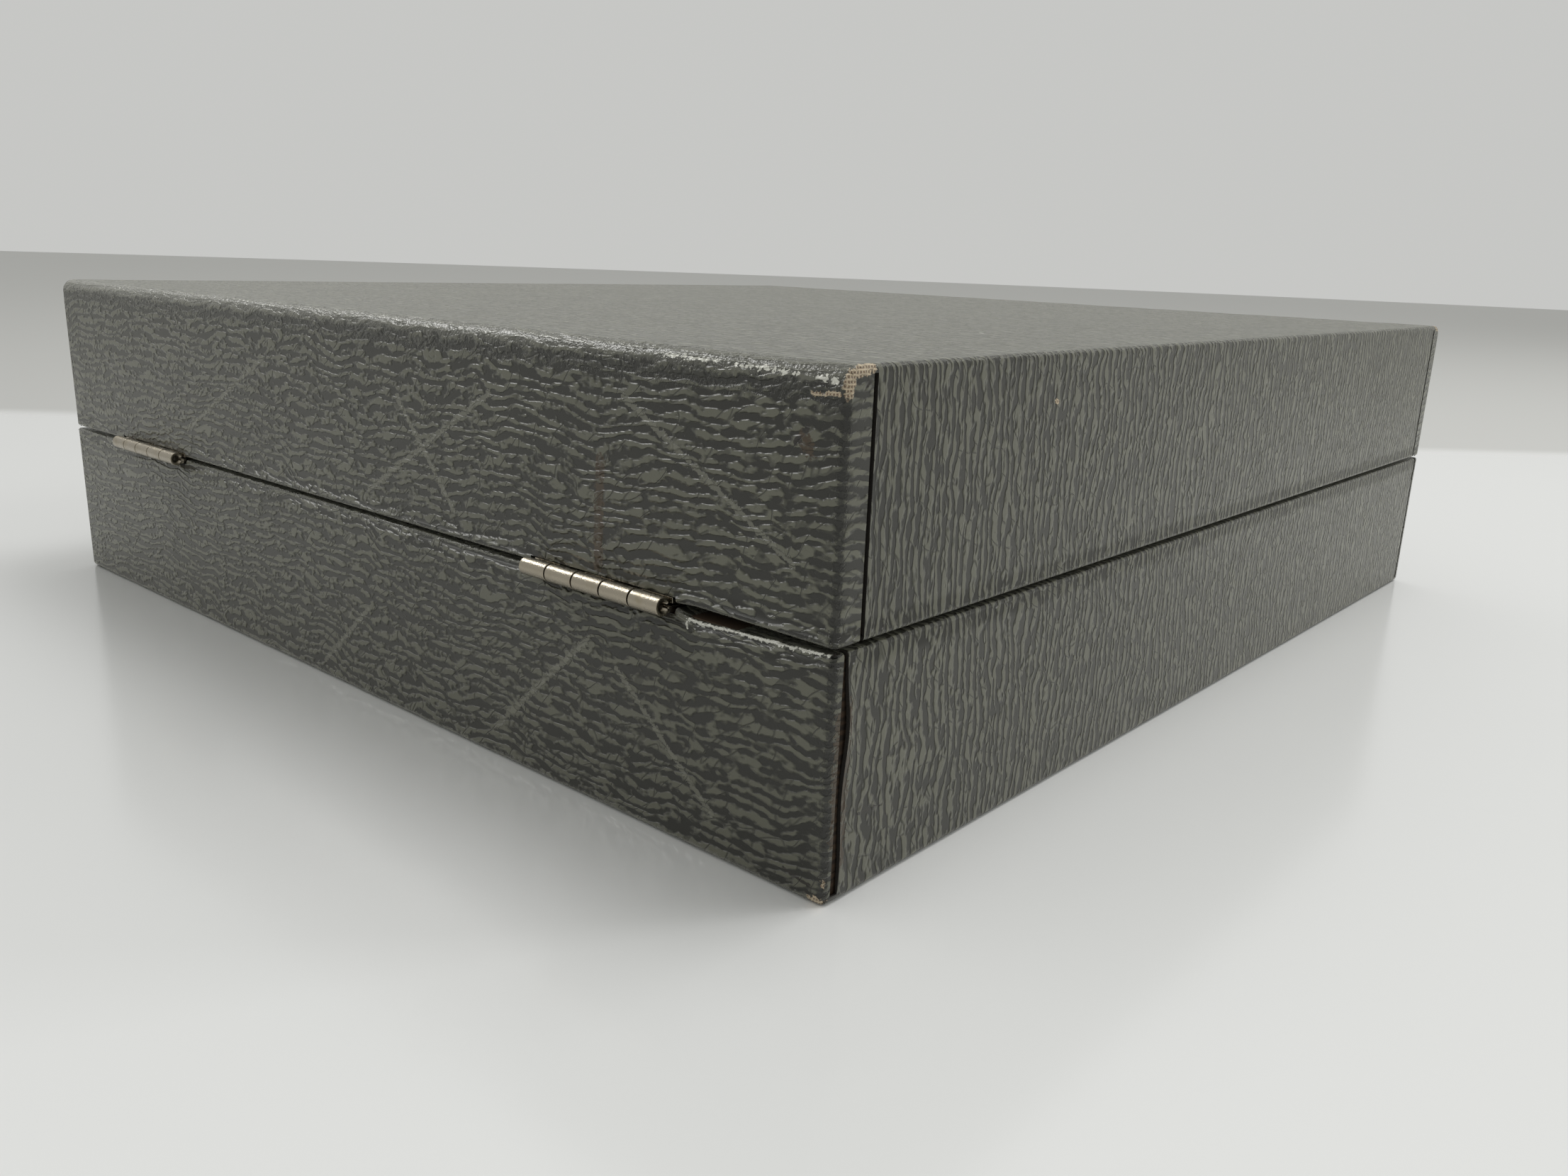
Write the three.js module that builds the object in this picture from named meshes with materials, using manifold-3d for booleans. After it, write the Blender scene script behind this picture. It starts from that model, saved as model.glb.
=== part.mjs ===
// Type case: a hinged case covered in leatherette. The base holds a tray of long compartments in
// which type stands on its feet, and a thick pad in the lid keeps the type down when the case is shut.
// Millimetres. X runs along the hinge edge, +Y is the hinge side, -Y the catch side, +Z is up.
// The origin is on the table under the middle of the closed case. Left and right are as seen by
// someone who sits at the catch, so left is -X.
import * as THREE from "three";
import { mergeVertices } from "three/addons/utils/BufferGeometryUtils.js";
import Module from "manifold-3d";

const wasm = await Module();
wasm.setup();

// ---- Driving dimensions ----------------------------------------------------------------------

// Case
const caseWidth = 217;
const caseDepth = 230.5;
const baseHeight = 31.75; // table to seam plane
const lidHeight = 31.75; // seam plane to top
const seamGap = 0.6; // between the two covered rims
const coverThickness = 0.5;
const boardThickness = 3; // bottom of the base, top of the lid
const wallThickness = 6;
const liningThickness = 0.4;
const liningDrop = 1; // lining's edge below the wall's top
const cornerRadius = 1; // upright corners
const endEdgeRadius = 0.8; // outer edge along the two ends
const baseLongEdgeRadius = 1; // outer edge along the hinge and catch sides
const lidLongEdgeRadius = 2.4;

// Clearances
const glueGap = 0.1; // between faces that are glued or rest together
const fitGap = 0.15; // round a piece that is let in
const runningGap = 0.3; // between pieces that move past each other

// Type tray
const rowCount = 14;
const trayGap = 0.5; // tray to lining
const trayFloorThickness = 2;
const railThickness = 3;
const dividerThickness = 2;
const spineThickness = 3;
const grooveDepth = 1.2; // housings for the dividers' ends
const trayDrop = 1.4; // rails' tops below the base's rim
const dividerDrop = 2; // dividers' tops below the rails' tops

// Lid pad
const padGap = 1; // pad to lining
const padLift = 0.5; // pad above the tray
const padEdgeRadius = 2;

// Hinges
const hingeInset = 40; // case's end to the hinge's middle
const hingeLength = 27.5;
const knuckleCount = 5;
const barrelRadius = 1.25;
const hingePinRadius = 0.6;
const pinRecess = 0.6; // pin's ends inside the barrel's
const leafThickness = 0.8;
const leafGap = 0.3; // between the closed leaves
const leafSetback = 0.8; // leaf's edge short of the wall's inner face
const hingeNailSpacing = 16;
const hingeNailLength = 9;
const nailRadius = 0.5;
const nailTip = 1;
const nailHeadRadius = 1;
const nailHeadDepth = 0.5;

// Catch
const catchWidth = 18;
const plateThickness = 0.8;
const plateCornerRadius = 1.5;
const catchBarrelRadius = 1.1;
const catchPinRadius = 0.5;
const catchLift = 2.6; // pivot above the seam plane
const haspWidth = 10; // tongue and knuckle
const haspLength = 12.5; // pivot to where the lip starts
const haspThickness = 0.7;
const lipRadius = 1;
const lipAngle = THREE.MathUtils.degToRad(70);
const studWidth = 6;
const studHeight = 3;
const studProud = 0.8; // stud past the hasp's face
const studChamfer = 0.6;
const studDrop = 4.4; // stud's middle below the seam plane
const keeperHeight = 8.4;
const catchPlateHeight = 9.5; // pivot to the lid plate's upper edge
const plateNailLift = 5.6; // lid plate's nails above the pivot
const catchNailSpacing = 13.6;
const catchNailLength = 5.5;
const domeRadius = 1.1;
const domeHeight = 0.6;

// Facets
const arcSteps = 4;
const barrelSides = 16;
const nailSides = 10;

// ---- Planes and places that follow -----------------------------------------------------------

const caseHeight = baseHeight + lidHeight;
const skin = coverThickness + glueGap; // outer face to wood
const innerHalfWidth = caseWidth / 2 - skin - wallThickness;
const innerHalfDepth = caseDepth / 2 - skin - wallThickness;
const wallFoot = skin + boardThickness + glueGap;
const linedHalfWidth = innerHalfWidth - glueGap - liningThickness;
const linedHalfDepth = innerHalfDepth - glueGap - liningThickness;
const linedFloor = wallFoot + liningThickness;
const trayTop = baseHeight - seamGap / 2 - trayDrop;

const hingeXs = [-1, 1].map((side) => side * (caseWidth / 2 - hingeInset));
const hingeAxisOut = barrelRadius + fitGap; // axis outside the back face
const leafReach = hingeAxisOut + skin + wallThickness - leafSetback;
const hingeNailIn = hingeAxisOut + skin + wallThickness / 2; // nails inside the axis
const pinBoreRadius = hingePinRadius + fitGap;

const catchAxisOut = catchBarrelRadius + glueGap; // pivot outside the front face
const keeperNailDrop = studDrop;
const beyond = 5; // how far a cutting tool runs past what it cuts

// ---- Materials -------------------------------------------------------------------------------

function finish(color, roughness, metalness = 0) {
  return new THREE.MeshStandardMaterial({ color, roughness, metalness });
}

const leatherette = finish(0x52534c, 0.5);
const plywood = finish(0xb8935f, 0.75);
const liningPaper = finish(0x3f4346, 0.95);
const foam = finish(0x8d8f8c, 1);
const beech = finish(0xc79d68, 0.6);
const nickel = finish(0xa8a294, 0.35, 1);

// ---- Solids ----------------------------------------------------------------------------------

// A closed geometry as a solid that can be joined and cut.
function solid(geometry) {
  const bare = geometry.clone();
  bare.deleteAttribute("normal");
  bare.deleteAttribute("uv");
  const merged = mergeVertices(bare, 1e-4);
  return new wasm.Manifold(
    new wasm.Mesh({
      numProp: 3,
      vertProperties: merged.attributes.position.array,
      triVerts: new Uint32Array(merged.index.array),
    }),
  );
}

// A solid as a named mesh.
function piece(name, body, material) {
  const { vertProperties, triVerts } = body.getMesh();
  const indexed = new THREE.BufferGeometry();
  indexed.setAttribute("position", new THREE.BufferAttribute(vertProperties, 3));
  indexed.setIndex(new THREE.BufferAttribute(triVerts, 1));
  const geometry = indexed.toNonIndexed();
  geometry.computeVertexNormals();
  const mesh = new THREE.Mesh(geometry, material);
  mesh.name = name;
  return mesh;
}

function cut(body, tools) {
  return tools.reduce((rest, tool) => rest.subtract(tool), body);
}

function join(bodies) {
  return bodies.reduce((whole, body) => whole.add(body));
}

// A block from its spans along X, Y and Z.
function block([x0, x1], [y0, y1], [z0, z1]) {
  const geometry = new THREE.BoxGeometry(x1 - x0, y1 - y0, z1 - z0);
  geometry.translate((x0 + x1) / 2, (y0 + y1) / 2, (z0 + z1) / 2);
  return solid(geometry);
}

// The span from -half to +half.
function about(half) {
  return [-half, half];
}

// A rod along X.
function rod([x0, x1], radius, sides = barrelSides) {
  const geometry = new THREE.CylinderGeometry(radius, radius, x1 - x0, sides);
  geometry.rotateZ(Math.PI / 2);
  geometry.translate((x0 + x1) / 2, 0, 0);
  return solid(geometry);
}

// A body of revolution about Z from [radius, z] points that start and end on the axis.
function turned(profile, sides = nailSides) {
  const points = profile.map(([radius, z]) => new THREE.Vector2(radius, z));
  const geometry = new THREE.LatheGeometry(points, sides);
  geometry.rotateX(Math.PI / 2);
  return solid(geometry);
}

// An outline's directions in space when it is extruded along x, y or z.
const alongX = new THREE.Vector3(1, 0, 0);
const alongY = new THREE.Vector3(0, 1, 0);
const alongZ = new THREE.Vector3(0, 0, 1);
const extrusionFrames = {
  x: new THREE.Matrix4().makeBasis(alongY, alongZ, alongX),
  y: new THREE.Matrix4().makeBasis(alongZ, alongX, alongY),
  z: new THREE.Matrix4().makeBasis(alongX, alongY, alongZ),
};

// An outline extruded along an axis. The outline lies in YZ for x, in ZX for y and in XY for z.
function prism(axis, outline, [start, end]) {
  const geometry = new THREE.ExtrudeGeometry(outline, {
    depth: end - start,
    bevelEnabled: false,
    curveSegments: arcSteps,
  });
  geometry.translate(0, 0, start);
  geometry.applyMatrix4(extrusionFrames[axis]);
  return solid(geometry);
}

// A rectangle with a radius for each corner, in the order (u0,v0), (u1,v0), (u1,v1), (u0,v1).
function roundedRectangle([u0, u1], [v0, v1], radii) {
  const corners = [
    [u0, v0, 1, 1],
    [u1, v0, -1, 1],
    [u1, v1, -1, -1],
    [u0, v1, 1, -1],
  ];
  const points = corners.flatMap(([u, v, inU, inV], corner) => {
    const radius = radii[corner];
    if (radius === 0) return [new THREE.Vector2(u, v)];
    return Array.from({ length: arcSteps + 1 }, (_, step) => {
      const angle = Math.PI + ((corner + step / arcSteps) * Math.PI) / 2;
      return new THREE.Vector2(
        u + inU * radius + radius * Math.cos(angle),
        v + inV * radius + radius * Math.sin(angle),
      );
    });
  });
  return new THREE.Shape(points);
}

// The case's outer form, moved in by an inset: closed face at z0 with rounded edges, rim at z1.
function caseForm(inset, [z0, z1], longEdgeRadius) {
  const xs = about(caseWidth / 2 - inset);
  const ys = about(caseDepth / 2 - inset);
  const upright = Math.max(cornerRadius - inset, 0);
  const longEdge = Math.max(longEdgeRadius - inset, 0);
  const endEdge = Math.max(endEdgeRadius - inset, 0);
  const plan = roundedRectangle(xs, ys, [upright, upright, upright, upright]);
  const sideView = roundedRectangle(ys, [z0, z1], [longEdge, longEdge, 0, 0]);
  const endView = roundedRectangle([z0, z1], xs, [endEdge, 0, 0, endEdge]);
  return prism("z", plan, [z0, z1])
    .intersect(prism("x", sideView, xs))
    .intersect(prism("y", endView, ys));
}

// ---- Nails -----------------------------------------------------------------------------------

// Both kinds point down from the surface at z = 0, and grow makes the hole that each one needs.
function flatNail(grow = 0) {
  const neck = nailRadius + grow;
  const top = grow > 0 ? beyond : 0;
  return turned([
    [0, -hingeNailLength - grow],
    [neck, -hingeNailLength + nailTip - grow],
    [neck, -nailHeadDepth],
    [nailHeadRadius + grow, 0],
    ...(top > 0 ? [[nailHeadRadius + grow, top]] : []),
    [0, top],
  ]);
}

function domedNail() {
  return turned([
    [0, -catchNailLength],
    [nailRadius, -catchNailLength + nailTip],
    [nailRadius, glueGap],
    [domeRadius, glueGap],
    [domeRadius * Math.cos(Math.PI / 6), glueGap + domeHeight / 2],
    [domeRadius / 2, glueGap + domeHeight * Math.sin(Math.PI / 3)],
    [0, glueGap + domeHeight],
  ]);
}

function domedNailHole() {
  const radius = nailRadius + fitGap;
  return turned([
    [0, -catchNailLength - fitGap],
    [radius, -catchNailLength - fitGap],
    [radius, beyond],
    [0, beyond],
  ]);
}

// ---- Half of the case: board, four walls, cover and lining -----------------------------------

// Each half is built with its closed face at z = 0 and its rim up. flip is -1 for the lid, which is
// turned over about Y and so has its left at +X while it is built.
function half(name, height, longEdgeRadius, catchNailDrop, flip) {
  const rim = height - seamGap / 2;
  const woodTop = rim - skin;
  const leafSeat = height - leafGap / 2 - leafThickness - fitGap;
  const allX = about(caseWidth);
  const allY = about(caseDepth);
  const group = new THREE.Group();

  const leafSeats = hingeXs.map((x) =>
    block(
      [x - hingeLength / 2 - fitGap, x + hingeLength / 2 + fitGap],
      [caseDepth / 2 + hingeAxisOut - leafReach - fitGap, caseDepth / 2 + beyond],
      [leafSeat, height + beyond],
    ),
  );
  const hingeNailHoles = hingeXs.flatMap((x) =>
    [-1, 1].map((side) =>
      flatNail(fitGap).translate([
        x + (side * hingeNailSpacing) / 2,
        caseDepth / 2 + hingeAxisOut - hingeNailIn,
        height - leafGap / 2,
      ]),
    ),
  );
  const catchNailHoles = [-1, 1].map((side) =>
    domedNailHole()
      .rotate([90, 0, 0])
      .translate([
        (side * catchNailSpacing) / 2,
        -caseDepth / 2 - glueGap - plateThickness,
        height - catchNailDrop,
      ]),
  );

  const wood = caseForm(skin, [skin, woodTop], longEdgeRadius);
  const wallSpan = [wallFoot, woodTop];
  const board = wood.intersect(block(allX, allY, [skin, skin + boardThickness]));
  const backWall = wood.intersect(block(allX, [innerHalfDepth, caseDepth], wallSpan));
  const frontWall = wood.intersect(block(allX, [-caseDepth, -innerHalfDepth], wallSpan));
  group.add(
    piece(`${name}_board`, board, plywood),
    piece(`${name}_back_wall`, cut(backWall, [...leafSeats, ...hingeNailHoles]), plywood),
    piece(`${name}_front_wall`, cut(frontWall, catchNailHoles), plywood),
  );
  for (const [side, label] of [[-flip, "left"], [flip, "right"]]) {
    const across = [side * innerHalfWidth, side * caseWidth].sort((a, b) => a - b);
    const along = about(innerHalfDepth - glueGap);
    const wall = wood.intersect(block(across, along, wallSpan));
    group.add(piece(`${name}_${label}_wall`, wall, plywood));
  }

  const outside = caseForm(0, [0, rim], longEdgeRadius);
  const inside = caseForm(coverThickness, [coverThickness, rim - coverThickness], longEdgeRadius);
  const mouth = block(about(innerHalfWidth), about(innerHalfDepth), [wallFoot, height + beyond]);
  const cover = cut(outside, [inside, mouth, ...leafSeats, ...catchNailHoles]);
  group.add(piece(`${name}_cover`, cover, leatherette));

  const liningOutside = block(
    about(innerHalfWidth - glueGap),
    about(innerHalfDepth - glueGap),
    [wallFoot, woodTop - liningDrop],
  );
  const liningInside = block(
    about(linedHalfWidth),
    about(linedHalfDepth),
    [linedFloor, height + beyond],
  );
  group.add(piece(`${name}_lining`, liningOutside.subtract(liningInside), liningPaper));
  return group;
}

// ---- Lid pad ---------------------------------------------------------------------------------

// The pad fills the lid, built rim up as the lid is, and stops just short of the tray.
function lidPad() {
  const xs = about(linedHalfWidth - padGap);
  const ys = about(linedHalfDepth - padGap);
  const zs = [linedFloor + glueGap, caseHeight - trayTop - padLift];
  const radii = [padEdgeRadius, padEdgeRadius, padEdgeRadius, padEdgeRadius];
  return piece("lid_pad", prism("z", roundedRectangle(xs, ys, radii), zs), foam);
}

// ---- Type tray -------------------------------------------------------------------------------

function typeTray() {
  const group = new THREE.Group();
  const halfWidth = linedHalfWidth - trayGap;
  const halfDepth = linedHalfDepth - trayGap;
  const floorFoot = linedFloor + glueGap;
  const foot = floorFoot + trayFloorThickness + glueGap;
  const dividerTop = trayTop - dividerDrop;
  const slotHalfWidth = halfWidth - railThickness;
  const slotHalfDepth = halfDepth - railThickness;
  const pitch = (2 * slotHalfDepth + dividerThickness) / rowCount;
  const dividerYs = Array.from(
    { length: rowCount - 1 },
    (_, i) => slotHalfDepth + dividerThickness / 2 - pitch * (i + 1),
  );
  const halving = (foot + dividerTop) / 2; // where spine and dividers meet
  const railSpan = [foot, trayTop];

  const floor = block(about(halfWidth), about(halfDepth), [floorFoot, foot - glueGap]);
  group.add(piece("tray_floor", floor, beech));

  for (const [side, label] of [[-1, "left"], [1, "right"]]) {
    const across = [side * slotHalfWidth, side * halfWidth].sort((a, b) => a - b);
    const grooved = [side * (slotHalfWidth - beyond), side * (slotHalfWidth + grooveDepth)];
    const grooves = dividerYs.map((y) =>
      block(
        grooved.sort((a, b) => a - b),
        [y - dividerThickness / 2 - fitGap, y + dividerThickness / 2 + fitGap],
        [foot - beyond, trayTop + beyond],
      ),
    );
    const rail = cut(block(across, about(halfDepth), railSpan), grooves);
    group.add(piece(`tray_${label}_rail`, rail, beech));
  }
  for (const [side, label] of [[-1, "front"], [1, "back"]]) {
    const along = [side * slotHalfDepth, side * halfDepth].sort((a, b) => a - b);
    const rail = block(about(slotHalfWidth - glueGap), along, railSpan);
    group.add(piece(`tray_${label}_rail`, rail, beech));
  }

  const spineNotches = dividerYs.map((y) =>
    block(
      about(spineThickness),
      [y - dividerThickness / 2 - fitGap, y + dividerThickness / 2 + fitGap],
      [halving - fitGap / 2, dividerTop + beyond],
    ),
  );
  const spine = block(
    about(spineThickness / 2),
    about(slotHalfDepth - glueGap),
    [foot, dividerTop],
  );
  group.add(piece("tray_spine", cut(spine, spineNotches), beech));

  dividerYs.forEach((y, i) => {
    const ys = [y - dividerThickness / 2, y + dividerThickness / 2];
    const strip = block(about(slotHalfWidth + grooveDepth - fitGap), ys, [foot, dividerTop]);
    const notch = block(
      about(spineThickness / 2 + fitGap),
      [ys[0] - beyond, ys[1] + beyond],
      [foot - beyond, halving + fitGap / 2],
    );
    group.add(piece(`tray_divider_${i + 1}`, strip.subtract(notch), beech));
  });
  return group;
}

// ---- Hinges ----------------------------------------------------------------------------------

// Spans along X of the barrel's knuckles, with a running gap between them.
function knuckleSpans(length, count) {
  const width = (length - (count - 1) * runningGap) / count;
  return Array.from({ length: count }, (_, i) => {
    const start = -length / 2 + i * (width + runningGap);
    return [start, start + width];
  });
}

// Room for the other part's knuckles.
function knuckleRoom(spans, radius) {
  return spans.map(([start, end]) =>
    rod([start - runningGap, end + runningGap], radius + runningGap),
  );
}

// One leaf, its axis on X and its plate just below it. The other leaf is the same turned over.
function hingeLeaf(ownSpans, otherSpans) {
  const plateTop = -leafGap / 2;
  const plate = block(about(hingeLength / 2), [-leafReach, 0], [plateTop - leafThickness, plateTop]);
  const whole = join([plate, ...ownSpans.map((span) => rod(span, barrelRadius))]);
  const nailHoles = hingeNailPlaces().map((place) => flatNail(fitGap).translate(place));
  const pinBore = rod(about(hingeLength), pinBoreRadius);
  return cut(whole, [pinBore, ...knuckleRoom(otherSpans, barrelRadius), ...nailHoles]);
}

function hingeNailPlaces() {
  return [-1, 1].map((side) => [(side * hingeNailSpacing) / 2, -hingeNailIn, -leafGap / 2]);
}

// A hinge with its axis on the seam plane, just outside the back face.
function hinge(label, x) {
  const spans = knuckleSpans(hingeLength, knuckleCount);
  const baseSpans = spans.filter((_, i) => i % 2 === 0);
  const lidSpans = spans.filter((_, i) => i % 2 === 1);
  const hingeGroup = new THREE.Group();
  hingeGroup.position.set(x, caseDepth / 2 + hingeAxisOut, baseHeight);
  const lidSide = new THREE.Group();
  lidSide.rotation.y = Math.PI;
  const name = `${label}_hinge`;
  hingeGroup.add(
    lidSide,
    piece(`${name}_base_leaf`, hingeLeaf(baseSpans, lidSpans), nickel),
    piece(`${name}_pin`, rod(about(hingeLength / 2 - pinRecess), hingePinRadius), nickel),
  );
  lidSide.add(piece(`${name}_lid_leaf`, hingeLeaf(lidSpans, baseSpans), nickel));
  for (const [side, parent] of [["base", hingeGroup], ["lid", lidSide]]) {
    hingeNailPlaces().forEach((place, i) => {
      const nail = piece(`${name}_${side}_nail_${i + 1}`, flatNail(), nickel);
      nail.position.set(...place);
      parent.add(nail);
    });
  }
  return hingeGroup;
}

// ---- Catch -----------------------------------------------------------------------------------

// A flat plate on the case's front face, seen from the front, with the pivot's axis as its origin.
function frontPlate([z0, z1]) {
  const inner = catchAxisOut - glueGap;
  const radii = [plateCornerRadius, plateCornerRadius, plateCornerRadius, plateCornerRadius];
  const outline = roundedRectangle([z0, z1], about(catchWidth / 2), radii);
  return prism("y", outline, [inner - plateThickness, inner]);
}

// The hasp's side view: a strip that hangs from the barrel's outer side and curls out at its end.
function haspSideView() {
  const front = -catchBarrelRadius;
  const back = front + haspThickness;
  const lipCentre = front - lipRadius;
  const outline = new THREE.Shape();
  outline.moveTo(front, 0);
  outline.lineTo(front, -haspLength);
  outline.absarc(lipCentre, -haspLength, lipRadius, 0, -lipAngle, true);
  outline.absarc(lipCentre, -haspLength, lipRadius + haspThickness, -lipAngle, 0, false);
  outline.lineTo(back, 0);
  return outline;
}

// The stud's side view: it stands on the keeper plate and its lower edge is chamfered, so that the
// hasp's window swings clear of it.
function studSideView(middle) {
  const root = catchAxisOut - glueGap - plateThickness / 2;
  const face = -catchBarrelRadius - studProud;
  const top = middle + studHeight / 2;
  const bottom = middle - studHeight / 2;
  return new THREE.Shape([
    new THREE.Vector2(root, bottom),
    new THREE.Vector2(root, top),
    new THREE.Vector2(face, top),
    new THREE.Vector2(face, bottom + studChamfer),
    new THREE.Vector2(face + studChamfer, bottom),
  ]);
}

function frontCatch() {
  const group = new THREE.Group();
  group.position.set(0, -caseDepth / 2 - catchAxisOut, baseHeight + catchLift);
  const studMiddle = -catchLift - studDrop;
  const haspSpan = about(haspWidth / 2);
  const plateSpans = [
    [-catchWidth / 2, haspSpan[0] - runningGap],
    [haspSpan[1] + runningGap, catchWidth / 2],
  ];
  const pinBore = rod(about(catchWidth), catchPinRadius + fitGap);
  const plateNailZ = plateNailLift;
  const keeperNailZ = -catchLift - keeperNailDrop;
  const nailHoles = catchNailPlaces(plateNailZ)
    .concat(catchNailPlaces(keeperNailZ))
    .map((place) => domedNailHole().rotate([90, 0, 0]).translate(place));

  const lidPlate = join([
    frontPlate([0, catchPlateHeight]),
    ...plateSpans.map((span) => rod(span, catchBarrelRadius)),
  ]);
  const plateCuts = [pinBore, ...knuckleRoom([haspSpan], catchBarrelRadius), ...nailHoles];
  group.add(piece("catch_plate", cut(lidPlate, plateCuts), nickel));
  group.add(piece("catch_pin", rod(about(catchWidth / 2 - pinRecess), catchPinRadius), nickel));

  const tongueEnd = -haspLength - lipRadius - haspThickness;
  const tongueOutline = roundedRectangle(
    [tongueEnd, 0],
    about(haspWidth / 2),
    [plateCornerRadius, 0, 0, plateCornerRadius],
  );
  const tongue = prism("x", haspSideView(), about(haspWidth / 2)).intersect(
    prism("y", tongueOutline, about(beyond)),
  );
  const window = block(
    about(studWidth / 2 + runningGap),
    about(beyond),
    [studMiddle - studHeight / 2 - runningGap, studMiddle + studHeight / 2 + runningGap],
  );
  const hasp = cut(join([tongue, rod(haspSpan, catchBarrelRadius)]), [
    window,
    pinBore,
    ...knuckleRoom(plateSpans, catchBarrelRadius),
  ]);
  group.add(piece("catch_hasp", hasp, nickel));

  const keeperPlate = frontPlate([studMiddle - keeperHeight / 2, studMiddle + keeperHeight / 2]);
  const stud = prism("x", studSideView(studMiddle), about(studWidth / 2));
  const keeper = cut(join([keeperPlate, stud]), nailHoles);
  group.add(piece("catch_keeper", keeper, nickel));

  for (const [name, z] of [["catch_plate", plateNailZ], ["catch_keeper", keeperNailZ]]) {
    catchNailPlaces(z).forEach((place, i) => {
      const nail = piece(`${name}_nail_${i + 1}`, domedNail(), nickel);
      nail.rotation.x = Math.PI / 2;
      nail.position.set(...place);
      group.add(nail);
    });
  }
  return group;
}

// Two places on a front plate's face, at a height above the pivot.
function catchNailPlaces(z) {
  const face = catchAxisOut - glueGap - plateThickness;
  return [-1, 1].map((side) => [(side * catchNailSpacing) / 2, face, z]);
}

// ---- Assembly --------------------------------------------------------------------------------

const typeCase = new THREE.Group();
typeCase.name = "type_case";

const lid = half("lid", lidHeight, lidLongEdgeRadius, catchLift + plateNailLift, -1);
lid.add(lidPad());
lid.rotation.y = Math.PI;
lid.position.z = caseHeight;

typeCase.add(
  half("base", baseHeight, baseLongEdgeRadius, keeperNailDrop, 1),
  typeTray(),
  lid,
  hinge("left", hingeXs[0]),
  hinge("right", hingeXs[1]),
  frontCatch(),
);

export default typeCase;
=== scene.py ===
"""Type case: a hinged case in grey leatherette, with a type tray in its base and a pad in its lid.

The frame is the CAD model's: metres, X along the hinge edge, +Y the hinge side, -Y the catch side,
+Z up, and the origin on the table under the middle of the closed case. Sizes in the classes are
millimetres, as a case maker gives them, and a mesh is brought to metres when it is finished.
"""

import logging
import math
from collections.abc import Iterable, Sequence
from dataclasses import dataclass, field
from enum import Enum
from functools import lru_cache

import bmesh
import bpy
from bpy.types import Node, NodeSocket, Object
from mathutils import Euler, Matrix, Vector, noise


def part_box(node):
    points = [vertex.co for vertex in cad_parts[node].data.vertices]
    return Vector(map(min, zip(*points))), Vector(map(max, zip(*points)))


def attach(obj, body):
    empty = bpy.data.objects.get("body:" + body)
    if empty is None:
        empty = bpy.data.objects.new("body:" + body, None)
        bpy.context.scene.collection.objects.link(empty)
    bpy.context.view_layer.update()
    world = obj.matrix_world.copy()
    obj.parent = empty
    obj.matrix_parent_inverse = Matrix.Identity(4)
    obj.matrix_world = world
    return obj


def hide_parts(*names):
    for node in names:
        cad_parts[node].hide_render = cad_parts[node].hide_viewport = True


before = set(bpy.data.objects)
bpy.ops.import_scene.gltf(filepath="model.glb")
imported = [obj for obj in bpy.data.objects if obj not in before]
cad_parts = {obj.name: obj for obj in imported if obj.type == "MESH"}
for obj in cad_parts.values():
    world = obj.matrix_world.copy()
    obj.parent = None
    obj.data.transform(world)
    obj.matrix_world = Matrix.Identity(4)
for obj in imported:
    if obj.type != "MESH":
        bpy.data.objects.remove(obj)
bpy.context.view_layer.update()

LOG = logging.getLogger("type_case")
MM = 0.001
PER_METRE = (1000, 1000, 1000)
# Two places closer than this, in millimetres, are the same one.
ON_FACE = 1e-3
Point = tuple[float, float, float]
Colour = tuple[float, float, float]


class Body(Enum):
    """The bodies of the case that a piece can ride on."""

    BASE = "base"
    LID = "lid"
    HASP = "hasp"


class Slot(Enum):
    """Names for material slots, which nothing in the script uses."""

    LEATHERETTE = "leatherette"
    PLYWOOD = "plywood"
    LINING = "lining_paper"
    FOAM = "foam"
    BEECH = "beech"
    NICKEL = "nickel"


class Grain(Enum):
    """The way the wood's grain runs in a strip."""

    ALONG_X = 0
    ALONG_Y = 1


# ---- Sizes from the frame ---------------------------------------------------------------------


@lru_cache(maxsize=None)
def node_box(node: str) -> tuple[Vector, Vector]:
    """A CAD node's lowest and highest corners, in millimetres."""
    low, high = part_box(node)
    return low / MM, high / MM


# ---- Meshes -----------------------------------------------------------------------------------


def add_box(bm: bmesh.types.BMesh, low: Sequence[float], high: Sequence[float]) -> list:
    """Adds a box between two corners.

    Args:
        bm: The mesh to add it to.
        low: Its lowest corner, in millimetres.
        high: Its highest corner, in millimetres.

    Returns:
        The box's vertices.
    """
    verts = bmesh.ops.create_cube(bm, size=1.0)["verts"]
    low, high = Vector(low), Vector(high)
    bmesh.ops.scale(bm, verts=verts, vec=high - low)
    bmesh.ops.translate(bm, verts=verts, vec=(low + high) / 2)
    return verts


def cut_lines(bm: bmesh.types.BMesh, axis: int, places: Iterable[float]) -> None:
    """Cuts a line round a box-like mesh at each place along an axis.

    Args:
        bm: The mesh to cut, whose edges all run along the axes.
        axis: 0, 1 or 2 for X, Y or Z.
        places: Where to cut, in millimetres.
    """
    along = [e for e in bm.edges if abs(e.verts[0].co[axis] - e.verts[1].co[axis]) > 1e-4]
    low = min(v.co[axis] for v in bm.verts)
    high = max(v.co[axis] for v in bm.verts)
    lines = [low, *sorted(set(places)), high]
    bmesh.ops.subdivide_edges(bm, edges=along, cuts=len(lines) - 2, use_grid_fill=True)
    for vert in bm.verts:
        share = (vert.co[axis] - low) / (high - low)
        vert.co[axis] = lines[round(share * (len(lines) - 1))]


def evenly(low: float, high: float, step: float) -> list[float]:
    """Places from low to high, evenly spaced and at most a step apart, the ends left out."""
    count = max(1, math.ceil((high - low) / step))
    return [low + (high - low) * i / count for i in range(1, count)]


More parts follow.
